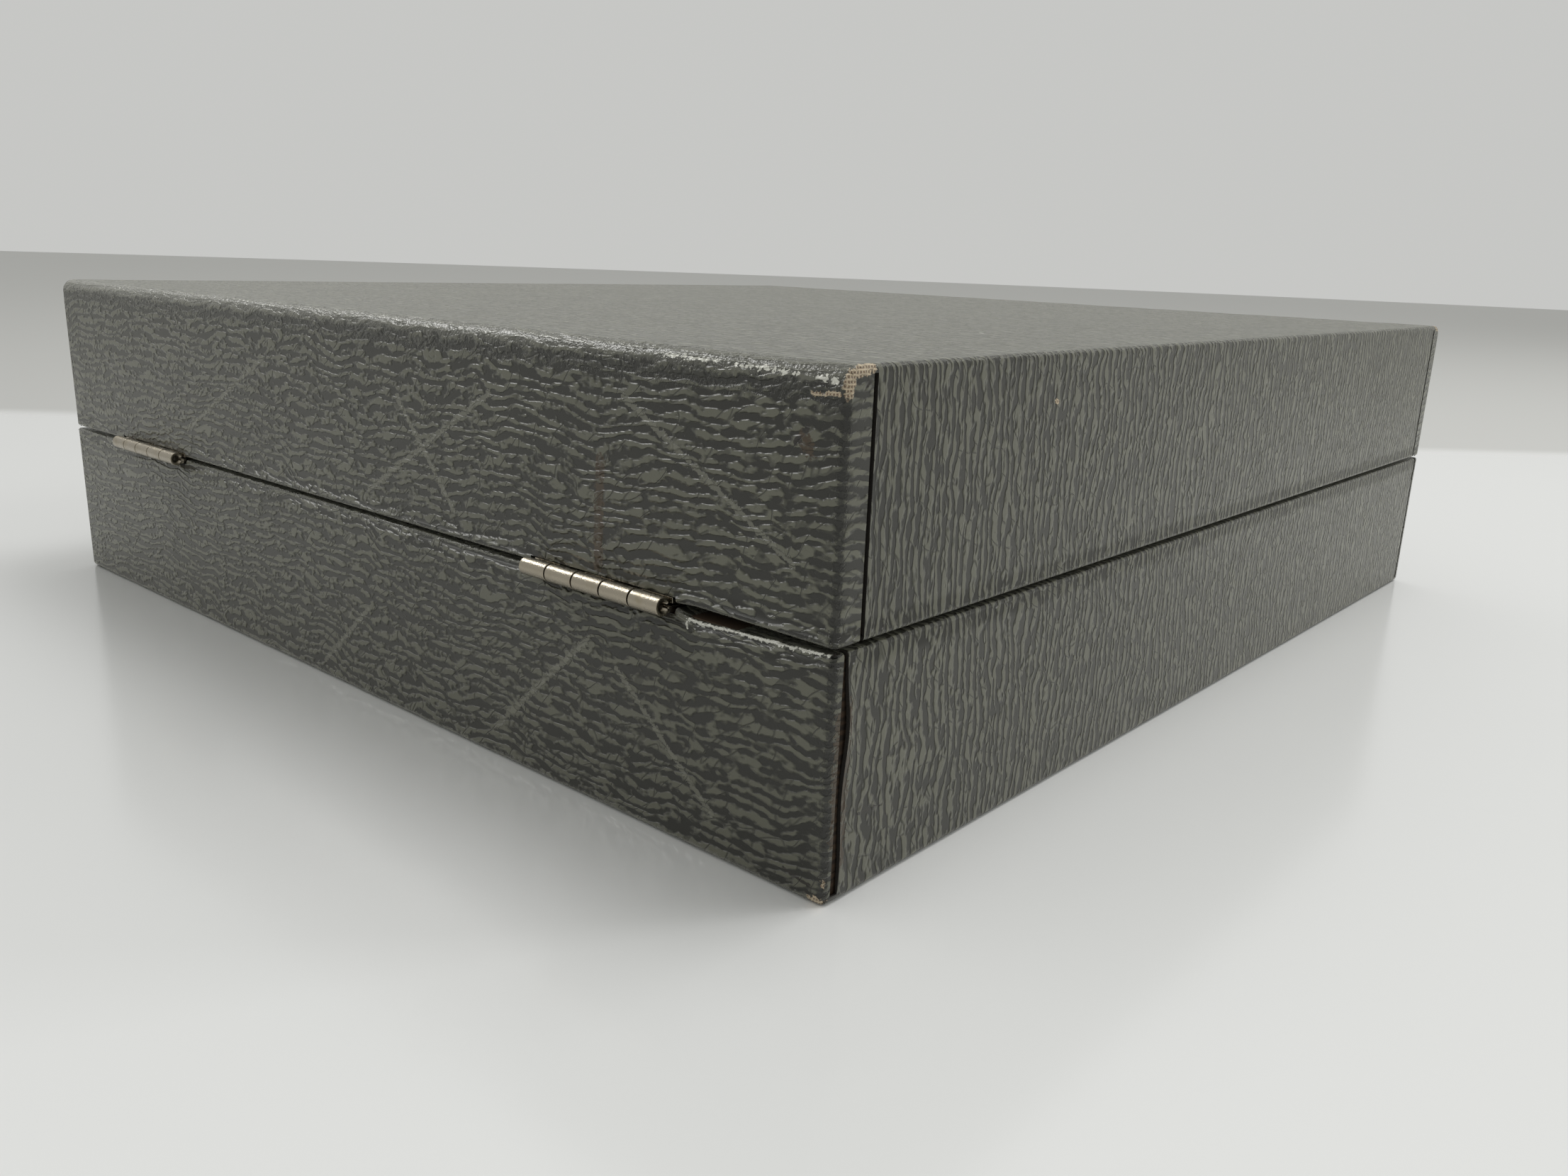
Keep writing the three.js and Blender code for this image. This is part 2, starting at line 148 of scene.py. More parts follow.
def bevel(bm: bmesh.types.BMesh, edges: list, width: float, segments: int = 2) -> None:
    """Rounds edges off by a width, in millimetres."""
    bmesh.ops.bevel(
        bm,
        geom=edges,
        offset=width,
        offset_type="OFFSET",
        segments=segments,
        profile=0.5,
        affect="EDGES",
        material=-1,
        clamp_overlap=True,
    )


def sharp_edges(bm: bmesh.types.BMesh, angle: float) -> list:
    """The edges whose two faces turn by more than an angle, in degrees."""
    limit = math.radians(angle)
    return [e for e in bm.edges if e.is_manifold and e.calc_face_angle() > limit]


def smooth_field(point: Vector, wavelength: float, seed: float = 0.0) -> float:
    """A smooth random value from about -1 to 1 at a point, both in millimetres."""
    return noise.noise(point / wavelength + Vector((seed, 0.37 * seed, -seed)))


def finish_piece(
    bm: bmesh.types.BMesh,
    name: str,
    materials: Sequence[bpy.types.Material],
    body: Body,
    replaces: Sequence[str] = (),
) -> Object:
    """Makes a mesh in millimetres a finished piece, which stands where it was modelled.

    Args:
        bm: The mesh, which is freed.
        name: The piece's name.
        materials: Its materials, in the order of the faces' material numbers.
        body: The body that it rides on.
        replaces: The CAD nodes that it stands for.

    Returns:
        The piece.
    """
    bmesh.ops.scale(bm, verts=bm.verts, vec=(MM, MM, MM))
    mesh = bpy.data.meshes.new(name)
    for face in bm.faces:
        face.smooth = True
    bm.to_mesh(mesh)
    bm.free()
    for material in materials:
        mesh.materials.append(material)
    piece = bpy.data.objects.new(name, mesh)
    bpy.context.scene.collection.objects.link(piece)
    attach(piece, body.value)
    if replaces:
        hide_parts(*replaces)
    LOG.info("%s: %d faces on %s", name, len(mesh.polygons), body.value)
    return piece


def weigh_normals(piece: Object) -> None:
    """Keeps a piece's flat faces flat beside its rounded edges."""
    modifier = piece.modifiers.new("flat_faces", "WEIGHTED_NORMAL")
    modifier.keep_sharp = True
    modifier.weight = 100


# ---- Materials --------------------------------------------------------------------------------


class Graph:
    """The nodes of one material, joined up step by step."""

    def __init__(self, name: str) -> None:
        """Starts a material that has only its shader."""
        self.material = bpy.data.materials.new(name)
        self.material.use_nodes = True
        self.tree = self.material.node_tree
        self.shader = self.tree.nodes["Principled BSDF"]

    def put(self, socket: NodeSocket, value: object) -> None:
        """Joins a socket to another, or sets its value."""
        if isinstance(value, NodeSocket):
            self.tree.links.new(value, socket)
        else:
            socket.default_value = value

    def add(self, kind: str, inputs: dict[int | str, object], **settings: object) -> Node:
        """Adds a node.

        Args:
            kind: The node's type, without ShaderNode.
            inputs: A value or socket for each input that isn't left as it is.
            settings: The node's own settings.

        Returns:
            The node.
        """
        node = self.tree.nodes.new("ShaderNode" + kind)
        for name, value in settings.items():
            setattr(node, name, value)
        for socket, value in inputs.items():
            self.put(node.inputs[socket], value)
        return node

    def math(self, operation: str, a: object, b: object = 0.0, c: object = 0.0) -> NodeSocket:
        """The result of a sum on numbers."""
        return self.add("Math", {0: a, 1: b, 2: c}, operation=operation).outputs[0]

    def vector(self, operation: str, a: object, b: object = (0.0, 0.0, 0.0)) -> NodeSocket:
        """The result of a sum on vectors."""
        return self.add("VectorMath", {0: a, 1: b}, operation=operation).outputs[0]

    def scaled(self, vector: object, factors: Sequence[float]) -> NodeSocket:
        """A vector with each part multiplied."""
        return self.vector("MULTIPLY", vector, tuple(factors))

    def place(self) -> NodeSocket:
        """The point on the object, in millimetres."""
        return self.scaled(self.add("TexCoord", {}).outputs["Object"], PER_METRE)

    def sheet(self) -> NodeSocket:
        """The point on the flat sheet, in millimetres."""
        uv = self.add("UVMap", {}, uv_map="sheet").outputs[0]
        return self.scaled(uv, (*PER_METRE[:2], 0))

    def painted(self, name: str) -> NodeSocket:
        """A mesh attribute that holds a number."""
        return self.add("Attribute", {}, attribute_name=name).outputs["Fac"]

    def noise(
        self, vector: object, scale: float, detail: float = 2.0, rough: float = 0.5
    ) -> NodeSocket:
        """Noise from 0 to 1, about 0.5."""
        inputs = {"Vector": vector, "Scale": scale, "Detail": detail, "Roughness": rough}
        return self.add("TexNoise", inputs).outputs[0]

    def sway(self, vector: object, scale: float, reach: Sequence[float]) -> NodeSocket:
        """A vector that noise moves about by a reach on each axis.

        Args:
            vector: The vector to move.
            scale: The noise's scale.
            reach: How far it moves on each axis.

        Returns:
            The moved vector.
        """
        inputs = {"Vector": vector, "Scale": scale, "Detail": 1.0, "Roughness": 0.5}
        colour = self.add("TexNoise", inputs).outputs[1]
        centred = self.vector("SUBTRACT", colour, (0.5, 0.5, 0.5))
        return self.vector("ADD", vector, self.scaled(centred, [2 * r for r in reach]))

    def step(self, value: object, low: float, high: float) -> NodeSocket:
        """A smooth step from 0 at low to 1 at high."""
        inputs = {"Value": value, "From Min": low, "From Max": high, "To Min": 0.0, "To Max": 1.0}
        node = self.add("MapRange", inputs, interpolation_type="SMOOTHSTEP")
        return node.outputs[0]

    def span(self, value: object, low: float, high: float) -> NodeSocket:
        """A value from 0 to 1 brought to a span from low to high."""
        return self.math("MULTIPLY_ADD", value, high - low, low)

    def mix(self, share: object, a: object, b: object, blend: str = "MIX") -> NodeSocket:
        """Two colours mixed."""
        colours = [(*c, 1.0) if isinstance(c, tuple) else c for c in (a, b)]
        node = self.add("Mix", {0: share}, data_type="RGBA", blend_type=blend)
        self.put(node.inputs[6], colours[0])
        self.put(node.inputs[7], colours[1])
        return node.outputs[2]

    def bump(self, height: object, strength: float = 1.0) -> NodeSocket:
        """A bumped normal from a height in millimetres."""
        metres = self.math("MULTIPLY", height, MM)
        inputs = {"Strength": strength, "Distance": 1.0, "Height": metres}
        return self.add("Bump", inputs).outputs[0]

    def shade(self, colour: object, tint: object) -> NodeSocket:
        """A colour made darker or lighter by a number."""
        grey = self.add("CombineXYZ", {0: tint, 1: tint, 2: tint}).outputs[0]
        return self.mix(1.0, colour, grey, "MULTIPLY")

    def near(
        self, point: object, start: Point, end: Point, jitter: object, width: float
    ) -> NodeSocket:
        """How near a point is to a line from start to end.

        Args:
            point: The point's socket, in millimetres.
            start: The line's first point.
            end: The line's last point.
            jitter: A distance that is added, which makes the edge ragged.
            width: How far from the line the mark reaches.

        Returns:
            1 on the line, falling to 0 past its width.
        """
        line = Vector(end) - Vector(start)
        from_start = self.vector("SUBTRACT", point, tuple(start))
        share = self.dot(from_start, tuple(line / line.length_squared))
        along = self.add("Clamp", {0: share}).outputs[0]
        foot = self.add("VectorMath", {0: tuple(line), "Scale": along}, operation="SCALE").outputs[0]
        off_line = self.vector("SUBTRACT", from_start, foot)
        off = self.add("VectorMath", {0: off_line}, operation="LENGTH").outputs["Value"]
        return self.step(self.math("ADD", off, jitter), width, 0.75 * width)

    def dot(self, a: object, b: object) -> NodeSocket:
        """The dot product of two vectors."""
        return self.add("VectorMath", {0: a, 1: b}, operation="DOT_PRODUCT").outputs["Value"]

    def most(self, values: Sequence[object]) -> object:
        """The highest of several values."""
        top = values[0]
        for value in values[1:]:
            top = self.math("MAXIMUM", top, value)
        return top

    def done(self, **inputs: object) -> bpy.types.Material:
        """Joins up the shader, with an underscore for a space in an input's name."""
        for name, value in inputs.items():
            spaced = name.replace("_", " ")
            socket = self.shader.inputs["IOR" if spaced == "ior" else spaced]
            self.put(socket, (*value, 1.0) if isinstance(value, tuple) and len(value) == 3 else value)
        return self.material


@dataclass(frozen=True)
class Mark:
    """A worn or stained stretch of the leatherette, from one point to another."""

    start: Point
    end: Point
    width: float
    ragged: float = 0.3


@dataclass(frozen=True)
class Leatherette:
    """Embossed, two-tone grey leatherette, worn at its folds and through at its corners."""

    name: str
    low_tone: Colour = (0.0072, 0.0070, 0.0040)
    high_tone: Colour = (0.106, 0.107, 0.082)
    rust: Colour = (0.042, 0.024, 0.008)
    # The dark specks' colour, also used as painted shade for a small hole.
    speck_and_hole_shade: Colour = (0.012, 0.009, 0.006)
    cloth: Colour = (0.60, 0.50, 0.37)
    cloth_shadow: Colour = (0.16, 0.09, 0.05)
    rubbed: Colour = (0.12, 0.12, 0.105)
    folded: Colour = (0.17, 0.17, 0.14)
    # Painted highlights along worn edges and rims; also the colour of a real scuff.
    highlight_and_scuff: Colour = (0.62, 0.62, 0.58)
    # Painted shade in the sheet's creases, at its upright corners and under the lid's long edge.
    pinch_and_shade: Colour = (0.010, 0.010, 0.008)
    ridge_pitch: float = 1.6
    flow_size: float = 38.0
    flow_reach: Point = (6.0, 3.6, 0.0)
    waver_size: float = 7.0
    waver_reach: Point = (1.4, 0.9, 0.0)
    blotch_size: tuple[float, float] = (2.8, 0.95)
    lump_size: tuple[float, float] = (1.1, 0.75)
    wrinkle_size: tuple[float, float] = (9.0, 3.4)
    wrinkle_turn: float = 0.75
    emboss: float = 0.32
    worn_emboss: float = 0.35
    fine_size: float = 0.16
    fine_height: float = 0.016
    rub_height: float = 0.17
    grit_height: float = 0.10
    pinch_depth: float = 0.12
    fold_height: float = 0.24
    weave_height: float = 0.20
    thread: float = 13.0
    roughness: float = 0.40
    gloss_roughness: float = 0.13
    stains: tuple[Mark, ...] = ()
    specks_and_hole_shade: tuple[Mark, ...] = ()
    highlights_and_scuffs: tuple[Mark, ...] = ()
    bare_cloth: tuple[Mark, ...] = ()
    creases: tuple[Mark, ...] = ()

    def ridges(self, g: Graph, flat: NodeSocket) -> NodeSocket:
        """The emboss of the grain, whose ridges run along the sheet's first direction.

        Args:
            g: The material's nodes.
            flat: The point on the flat sheet.

        Returns:
            The grain's height, from 0 to 1.
        """

        def stretched(point: NodeSocket, size: tuple[float, float]) -> NodeSocket:
            """A point in units of a lump's length and width."""
            return g.scaled(point, (1 / size[0], 1 / size[1], 0))

        swayed = g.sway(flat, 1 / self.flow_size, self.flow_reach)
        swayed = g.sway(swayed, 1 / self.waver_size, self.waver_reach)
        drift = g.noise(g.scaled(swayed, (1 / 8, 1 / 3, 0)), 1.0, 1.0)
        across = g.add("SeparateXYZ", {0: swayed}).outputs[1]
        rows = g.math("DIVIDE", across, self.ridge_pitch)
        turns = g.math("ADD", rows, g.math("MULTIPLY", drift, 2.0))
        band = g.math("SINE", g.math("MULTIPLY", turns, 2 * math.pi))
        blotch = g.noise(stretched(swayed, self.blotch_size), 1.0, 1.0, 0.5)
        lumps = g.noise(stretched(flat, self.lump_size), 1.0, 0.5)
        height = g.math("MULTIPLY_ADD", band, 0.27, g.span(blotch, -0.85, 0.85))
        height = g.math("ADD", height, g.span(lumps, -0.36, 0.36))
        rounded = g.step(height, -0.14, 0.24)
        turned = g.add("VectorRotate", {"Vector": swayed, "Angle": self.wrinkle_turn}).outputs[0]
        wander = g.noise(stretched(turned, self.wrinkle_size), 1.0, 1.0, 0.5)
        off_line = g.math("ABSOLUTE", g.math("SUBTRACT", wander, 0.5))
        wrinkles = g.span(g.step(off_line, 0.002, 0.024), 0.45, 1.0)
        return g.math("MULTIPLY", rounded, wrinkles)

    def weave(self, g: Graph) -> NodeSocket:
        """The height of the woven cloth under the grain, from 0 to 1."""
        at = g.scaled(g.sway(g.place(), 1 / 0.8, (0.12, 0.12, 0.12)), (self.thread,) * 3)
        parts = g.add("SeparateXYZ", {0: at}).outputs
        along = g.math("SINE", g.math("ADD", parts[0], parts[1]))
        across = g.math("SINE", parts[2])
        return g.span(g.math("MAXIMUM", along, across), 0.5, 1.0)

    def build(self) -> bpy.types.Material:
        """The finished material.

        Returns:
            The material, with its marks where they are on the case.
        """
        g = Graph(self.name)
        flat, place = g.sheet(), g.place()
        grain = self.ridges(g, flat)
        fine = g.noise(flat, 1 / self.fine_size, 2.0, 0.6)
        broad = g.noise(flat, 1 / 30, 2.0)
        colour = g.mix(grain, self.low_tone, self.high_tone)
        tint = g.math("MULTIPLY", g.span(broad, 0.80, 1.20), g.span(fine, 0.86, 1.14))
        colour = g.shade(colour, tint)

        rubs = g.noise(place, 1 / 0.75, 3.0, 0.6)
        rubbed_off = g.math("SUBTRACT", g.painted("wear"), 1.0)
        gloss = g.step(g.math("MULTIPLY_ADD", rubs, 1.1, rubbed_off), 0.0, 0.25)
        colour = g.mix(g.math("MULTIPLY", gloss, 0.55), colour, self.rubbed)
        ragged = g.noise(place, 1 / 0.55, 2.0, 0.6)
        # Painted shade: the creases are darkened, and they are also sunk by the bump further down.
        crease = g.math("MULTIPLY_ADD", g.span(ragged, -1.0, 1.0), 0.9, g.painted("crease"))
        pinch_and_shade = g.step(crease, 0.35, 0.75)
        colour = g.mix(g.math("MULTIPLY", pinch_and_shade, 0.85), colour, self.pinch_and_shade)

        folds = self.marked(g, flat, self.creases, ragged)
        colour = g.mix(g.math("MULTIPLY", folds, 0.70), colour, self.folded)
        flakes = g.step(g.noise(place, 1 / 0.9, 3.0, 0.7), 0.28, 0.52)
        rusty = g.math("MULTIPLY", self.marked(g, place, self.stains, ragged), flakes)
        colour = g.mix(rusty, colour, self.rust)
        # Dark specks, and a dark spot as painted shade in a small hole under the bare cloth.
        colour = g.mix(self.marked(g, place, self.specks_and_hole_shade, ragged), colour, self.speck_and_hole_shade)
        # Painted highlights: bright ragged lines along the lid's rounded back edge and the base's back
        # rim.
        colour = g.mix(self.marked(g, place, self.highlights_and_scuffs, ragged), colour, self.highlight_and_scuff)
        bare = self.marked(g, place, self.bare_cloth, ragged)
        weave = self.weave(g)
        colour = g.mix(bare, colour, g.mix(weave, self.cloth_shadow, self.cloth))

        grit = g.noise(place, 1 / 0.42, 1.0, 0.5)
        emboss = g.span(gloss, self.emboss, self.worn_emboss * self.emboss)
        height = g.math("MULTIPLY", grain, emboss)
        for relief, reach in (
            (fine, self.fine_height),
            (g.math("MULTIPLY", gloss, rubs), self.rub_height),
            (g.math("MULTIPLY", gloss, grit), self.grit_height),
            (pinch_and_shade, -self.pinch_depth),
            (folds, self.fold_height),
            (g.math("MULTIPLY", bare, weave), self.weave_height),
        ):
            height = g.math("MULTIPLY_ADD", relief, reach, height)
        matt = g.span(fine, self.roughness - 0.06, self.roughness + 0.06)
        rough = g.math("MULTIPLY_ADD", gloss, self.gloss_roughness - self.roughness, matt)
        rough = g.math("MULTIPLY_ADD", bare, 0.5, rough)
        return g.done(
            Base_Color=colour,
            Roughness=rough,
            Normal=g.bump(height),
            ior=1.38,
            Coat_Weight=0.55,
            Coat_Roughness=0.26,
            Coat_Normal=g.bump(height, 0.65),
            Coat_Tint=(0.99, 0.98, 0.90),
            Sheen_Weight=0.16,
            Sheen_Roughness=0.35,
            Sheen_Tint=(0.95, 0.95, 0.80),
        )

    def marked(self, g: Graph, point: NodeSocket, marks: Sequence[Mark], ragged: NodeSocket) -> object:
        """Where any of some marks are.

        Args:
            g: The material's nodes.
            point: The point that the marks are measured from.
            marks: The marks.
            ragged: Noise that makes their edges ragged.

        Returns:
            1 on a mark and 0 off it.
        """
        nears = [
            g.near(point, m.start, m.end, g.span(ragged, -2 * m.ragged, 2 * m.ragged), m.width)
            for m in marks
        ]
        return g.most(nears) if nears else 0.0


@dataclass(frozen=True)
class ClothBacking:
    """The woven back of the leatherette and its cut edge."""

    name: str = "leatherette_backing"
    colour: Colour = (0.022, 0.018, 0.013)

    def build(self) -> bpy.types.Material:
        """The finished material."""
        g = Graph(self.name)
        fibres = g.noise(g.place(), 1 / 0.2, 2.0, 0.6)
        colour = g.mix(fibres, tuple(0.35 * c for c in self.colour), self.colour)
        return g.done(Base_Color=colour, Roughness=0.95, Normal=g.bump(g.math("MULTIPLY", fibres, 0.05)))


@dataclass(frozen=True)
class Nickel:
    """Warm nickel plate with a fine hammered sparkle."""

    name: str
    colour: Colour = (0.38, 0.34, 0.27)
    tarnish: Colour = (0.30, 0.25, 0.16)
    roughness: float = 0.22
    hammer: float = 0.045

    def build(self) -> bpy.types.Material:
        """The finished material."""
        g = Graph(self.name)
        at = g.place()
        dimples = g.noise(at, 1 / 0.28, 2.0, 0.55)
        cloud = g.noise(at, 1 / 2.4, 3.0, 0.6)
        dirt = g.step(cloud, 0.50, 0.78)
        colour = g.mix(g.math("MULTIPLY", dirt, 0.55), self.colour, self.tarnish)
        height = g.math("MULTIPLY", dimples, self.hammer)
        rough = g.math("MULTIPLY_ADD", cloud, 0.22, self.roughness - 0.05)
        return g.done(Base_Color=colour, Metallic=1.0, Roughness=rough, Normal=g.bump(height))


@dataclass(frozen=True)
class Beech:
    """Straight-grained beech with its short dark flecks."""

    name: str
    grain: Grain
    pale: Colour = (0.62, 0.42, 0.25)
    dark: Colour = (0.46, 0.28, 0.15)
    fleck: Colour = (0.25, 0.13, 0.06)

    def build(self) -> bpy.types.Material:
        """The finished material."""
        g = Graph(self.name)
        at = g.place()
        if self.grain is Grain.ALONG_Y:
            x, y, z = g.add("SeparateXYZ", {0: at}).outputs
            at = g.add("CombineXYZ", {0: y, 1: x, 2: z}).outputs[0]
        rings = g.noise(g.scaled(at, (1 / 90, 1 / 5, 1 / 5)), 1.0, 3.0, 0.6)
        pores = g.noise(g.scaled(at, (1 / 6, 1 / 0.35, 1 / 0.35)), 1.0, 2.0, 0.6)
        rays = g.step(g.noise(g.scaled(at, (1 / 2.2, 1 / 0.45, 1 / 0.45)), 1.0, 1.0), 0.60, 0.70)
        colour = g.mix(g.step(rings, 0.3, 0.7), self.pale, self.dark)
        colour = g.mix(g.math("MULTIPLY", rays, 0.5), colour, self.fleck)
        colour = g.mix(g.math("MULTIPLY", g.step(pores, 0.55, 0.8), 0.25), colour, self.fleck)
        height = g.math("MULTIPLY", pores, 0.05)
        rough = g.span(pores, 0.48, 0.62)
        return g.done(Base_Color=colour, Roughness=rough, Normal=g.bump(height))


@dataclass(frozen=True)
class Plywood:
    """Thin-ply board, made dark brown as painted shade for the slits and gaps where it shows."""

    name: str = "covered_plywood"
    # Painted shade: dark enough that the slits and gaps which show the board read as shade.
    light: Colour = (0.060, 0.036, 0.019)
    dark: Colour = (0.020, 0.013, 0.008)
    ply: float = 1.2

    def build(self) -> bpy.types.Material:
        """The finished material."""
        g = Graph(self.name)
        at = g.place()
        z = g.add("SeparateXYZ", {0: at}).outputs[2]
        plies = g.math("SINE", g.math("MULTIPLY", z, 2 * math.pi / self.ply))
        streaks = g.noise(g.scaled(at, (1 / 30, 1 / 4, 1 / 0.6)), 1.0, 3.0, 0.6)
        share = g.step(g.math("MULTIPLY_ADD", plies, 0.15, streaks), 0.3, 0.7)
        colour = g.mix(share, self.light, self.dark)
        return g.done(Base_Color=colour, Roughness=0.8, Normal=g.bump(g.math("MULTIPLY", streaks, 0.1)))


@dataclass(frozen=True)
class LiningPaper:
    """Dark grey paper with a felted face."""

    name: str = "felted_lining_paper"
    dark: Colour = (0.030, 0.034, 0.038)
    light: Colour = (0.060, 0.066, 0.072)

    def build(self) -> bpy.types.Material:
        """The finished material."""
        g = Graph(self.name)
        at = g.place()
        fibres = g.noise(at, 1 / 0.5, 3.0, 0.65)
        mottle = g.noise(at, 1 / 9, 2.0)
        share = g.math("MULTIPLY_ADD", mottle, 0.4, g.math("MULTIPLY", fibres, 0.6))
        colour = g.mix(g.step(share, 0.3, 0.7), self.dark, self.light)
        material = g.done(
            Base_Color=colour, Roughness=0.93, Normal=g.bump(g.math("MULTIPLY", fibres, 0.08))
        )
        g.shader.inputs["Sheen Weight"].default_value = 0.15
        return material


@dataclass(frozen=True)
class Foam:
    """Open-celled grey foam, with painted shade in its cells' hollows."""

    name: str = "foam"
    pale: Colour = (0.33, 0.34, 0.33)
    pit_shade: Colour = (0.07, 0.07, 0.07)
    cell: float = 0.55

    def build(self) -> bpy.types.Material:
        """The finished material."""
        g = Graph(self.name)
        at = g.place()
        cells = g.add("TexVoronoi", {"Vector": at, "Scale": 1 / self.cell}).outputs["Distance"]
        mottle = g.noise(at, 1 / 14, 2.0)
        walls = g.step(cells, 0.15, 0.55)
        # Painted shade: the cells' hollows are darkened.
        colour = g.mix(g.math("MULTIPLY", walls, 0.9), self.pit_shade, self.pale)
        tint = g.span(mottle, 0.82, 1.12)
        colour = g.shade(colour, tint)
        return g.done(Base_Color=colour, Roughness=0.97, Normal=g.bump(g.math("MULTIPLY", walls, 0.22)))


@dataclass(frozen=True)
class TableTop:
    """A glossy white table top, with a pale grey backdrop past its far edge."""

    name: str = "table_top"
    white: Colour = (0.87, 0.875, 0.865)
    grey: Colour = (0.58, 0.58, 0.56)
    edge_way: tuple[float, float] = (0.707, -0.707)
    edge_reach: float = 240.0
    edge_blur: float = 14.0

    def build(self) -> bpy.types.Material:
        """The finished material."""
        g = Graph(self.name)
        at = g.place()
        way = (*self.edge_way, 0.0)
        out = g.add("VectorMath", {0: at, 1: way}, operation="DOT_PRODUCT").outputs["Value"]
        past = g.step(out, self.edge_reach - self.edge_blur, self.edge_reach + self.edge_blur)
        colour = g.mix(past, self.white, self.grey)
        rough = g.math("MULTIPLY_ADD", past, 0.6, 0.18)
        material = g.done(Base_Color=colour, Roughness=rough)
        g.shader.inputs["IOR"].default_value = 1.95
        return material


# ---- The covers -------------------------------------------------------------------------------


def eased(p: float, q: float, radius: float) -> tuple[float, float]:
    """Rounds an edge: two depths, each from one of its faces, as they are on the rounded edge.

    Args:
        p: The depth below the first face.
        q: The depth below the second face.
        radius: The rounding's radius.

    Returns:
        The two depths.
    """
    a, b = radius - p, radius - q
    if a <= 0 or b <= 0:
        return p, q
    share = max(a, b) / math.hypot(a, b)
    return radius - a * share, radius - b * share


@dataclass
class CoverForm:
    """One half's covering, folded from one sheet of leatherette over the closed face and four walls.

    The half is built with its closed face at z = 0 and its rim up, and placed when it is done.
    """

    name: str
    body: Body
    long_edge_radius: float
    tab_width: float
    closed_at: float
    flip: bool
    replaces: str
    rests_on: tuple[str, ...]
    seam_width: float = 0.75
    end_edge_radius: float = 0.9
    rim_radius: float = 0.5
    thickness: float = 0.5
    turn_in: float = 1.6
    grid: float = 4.0
    leaf_room: float = 0.15
    axis_over_rim: float = 0.3
    leaf_under_axis: float = 0.95
    beside_leaf: float = 0.7
    gap_near_hinge: float = 0.9
    curl: float = 0.0
    crumple: float = 0.0
    seed: float = 0.0
    half_width: float = field(init=False)
    half_depth: float = field(init=False)
    rim: float = field(init=False)
    inner_half_width: float = field(init=False)
    inner_half_depth: float = field(init=False)

    def __post_init__(self) -> None:
        """Takes the half's sizes from the frame."""
        low, high = node_box(self.replaces)
        self.half_width, self.half_depth = high.x, high.y
        self.rim = high.z - low.z
        wall_low, _ = node_box(f"{self.body.value}_right_wall")
        back_low, _ = node_box(f"{self.body.value}_back_wall")
        self.inner_half_width, self.inner_half_depth = wall_low.x, back_low.y

    # Depths below the case's faces, in the sharp form that the sheet is folded from.

    def seam_places(self) -> tuple[float, float]:
        """Where the seam in an end face starts and stops, across the case."""
        start = self.half_depth - self.tab_width - self.seam_width
        return start, self.half_depth - self.tab_width

    def hinge_spans(self) -> list[tuple[float, float]]:
        """The spans along X where the rim makes room for a hinge's leaf."""
        boxes = [node_box(f"{side}_hinge_{self.body.value}_leaf") for side in ("left", "right")]
        spans = [(low.x - self.beside_leaf, high.x + self.beside_leaf) for low, high in boxes]
        return [(-high, -low) for low, high in spans] if self.flip else spans

    def leaf_place(self) -> tuple[float, float]:
        """Where a leaf's room starts along Y, and how high its seat is."""
        low, _ = node_box(f"left_hinge_{self.body.value}_leaf")
        pin_low, pin_high = node_box("left_hinge_pin")
        # The lid is built upside down, so its hinge axis is placed from its own rim.
        axis = self.rim + self.axis_over_rim if self.flip else (pin_low.z + pin_high.z) / 2
        return low.y - self.leaf_room, axis - self.leaf_under_axis - self.leaf_room

    def depths(self, point: Vector) -> tuple[float, float]:
        """How deep a point is below the nearer end face and the nearer long face."""
        return self.half_width - abs(point.x), self.half_depth - abs(point.y)

    def sharp_form(self) -> bmesh.types.BMesh:
        """The half's outer form with sharp edges, open at the rim and cut into the sheet's grid.

        Returns:
            The mesh.
        """
        bm = bmesh.new()
        low = (-self.half_width, -self.half_depth, 0)
        add_box(bm, low, (self.half_width, self.half_depth, self.rim))
        long_r, end_r, rim_r = self.long_edge_radius, self.end_edge_radius, self.rim_radius
        seam_start, seam_stop = self.seam_places()
        leaf_y, leaf_z = self.leaf_place()
        end_depths = [end_r * f for f in (0.18, 0.42, 0.72, 1.0, 1.35)]
        long_depths = [long_r * f for f in (0.1, 0.24, 0.4, 0.58, 0.78, 1.0)] + [long_r + 0.4]
        rim_depths = [rim_r * f for f in (0.25, 0.6, 1.0)] + [rim_r + 0.3]
        lips = [-0.3, 0.0, 0.6]
        xs = [self.half_width - d for d in end_depths + rim_depths]
        xs += [self.inner_half_width - d for d in lips]
        xs += evenly(0, self.half_width - 3, self.grid) + [0.0]
        xs = [s * x for x in xs for s in (-1, 1)]
        xs += [x for span in self.hinge_spans() for x in span]
        ys = [self.half_depth - d for d in end_depths + long_depths + rim_depths]
        ys += [self.inner_half_depth - d for d in lips]
        ys += [seam_start, seam_stop, seam_start - 0.5, seam_start - 1.5]
        ys += [(seam_stop + self.half_depth) / 2]
        ys += evenly(0, self.half_depth - 7, self.grid) + [0.0]
        ys = [s * y for y in ys for s in (-1, 1)] + [leaf_y]
        zs = end_depths + long_depths + [self.rim - d for d in rim_depths] + [leaf_z]
        zs += evenly(long_r + 1, self.rim - 1.2, 1.9)
        cut_lines(bm, 0, [x for x in xs if abs(x) < self.half_width - 0.01])
        cut_lines(bm, 1, [y for y in ys if abs(y) < self.half_depth - 0.01])
        cut_lines(bm, 2, [z for z in zs if 0.01 < z < self.rim - 0.01])
        return bm

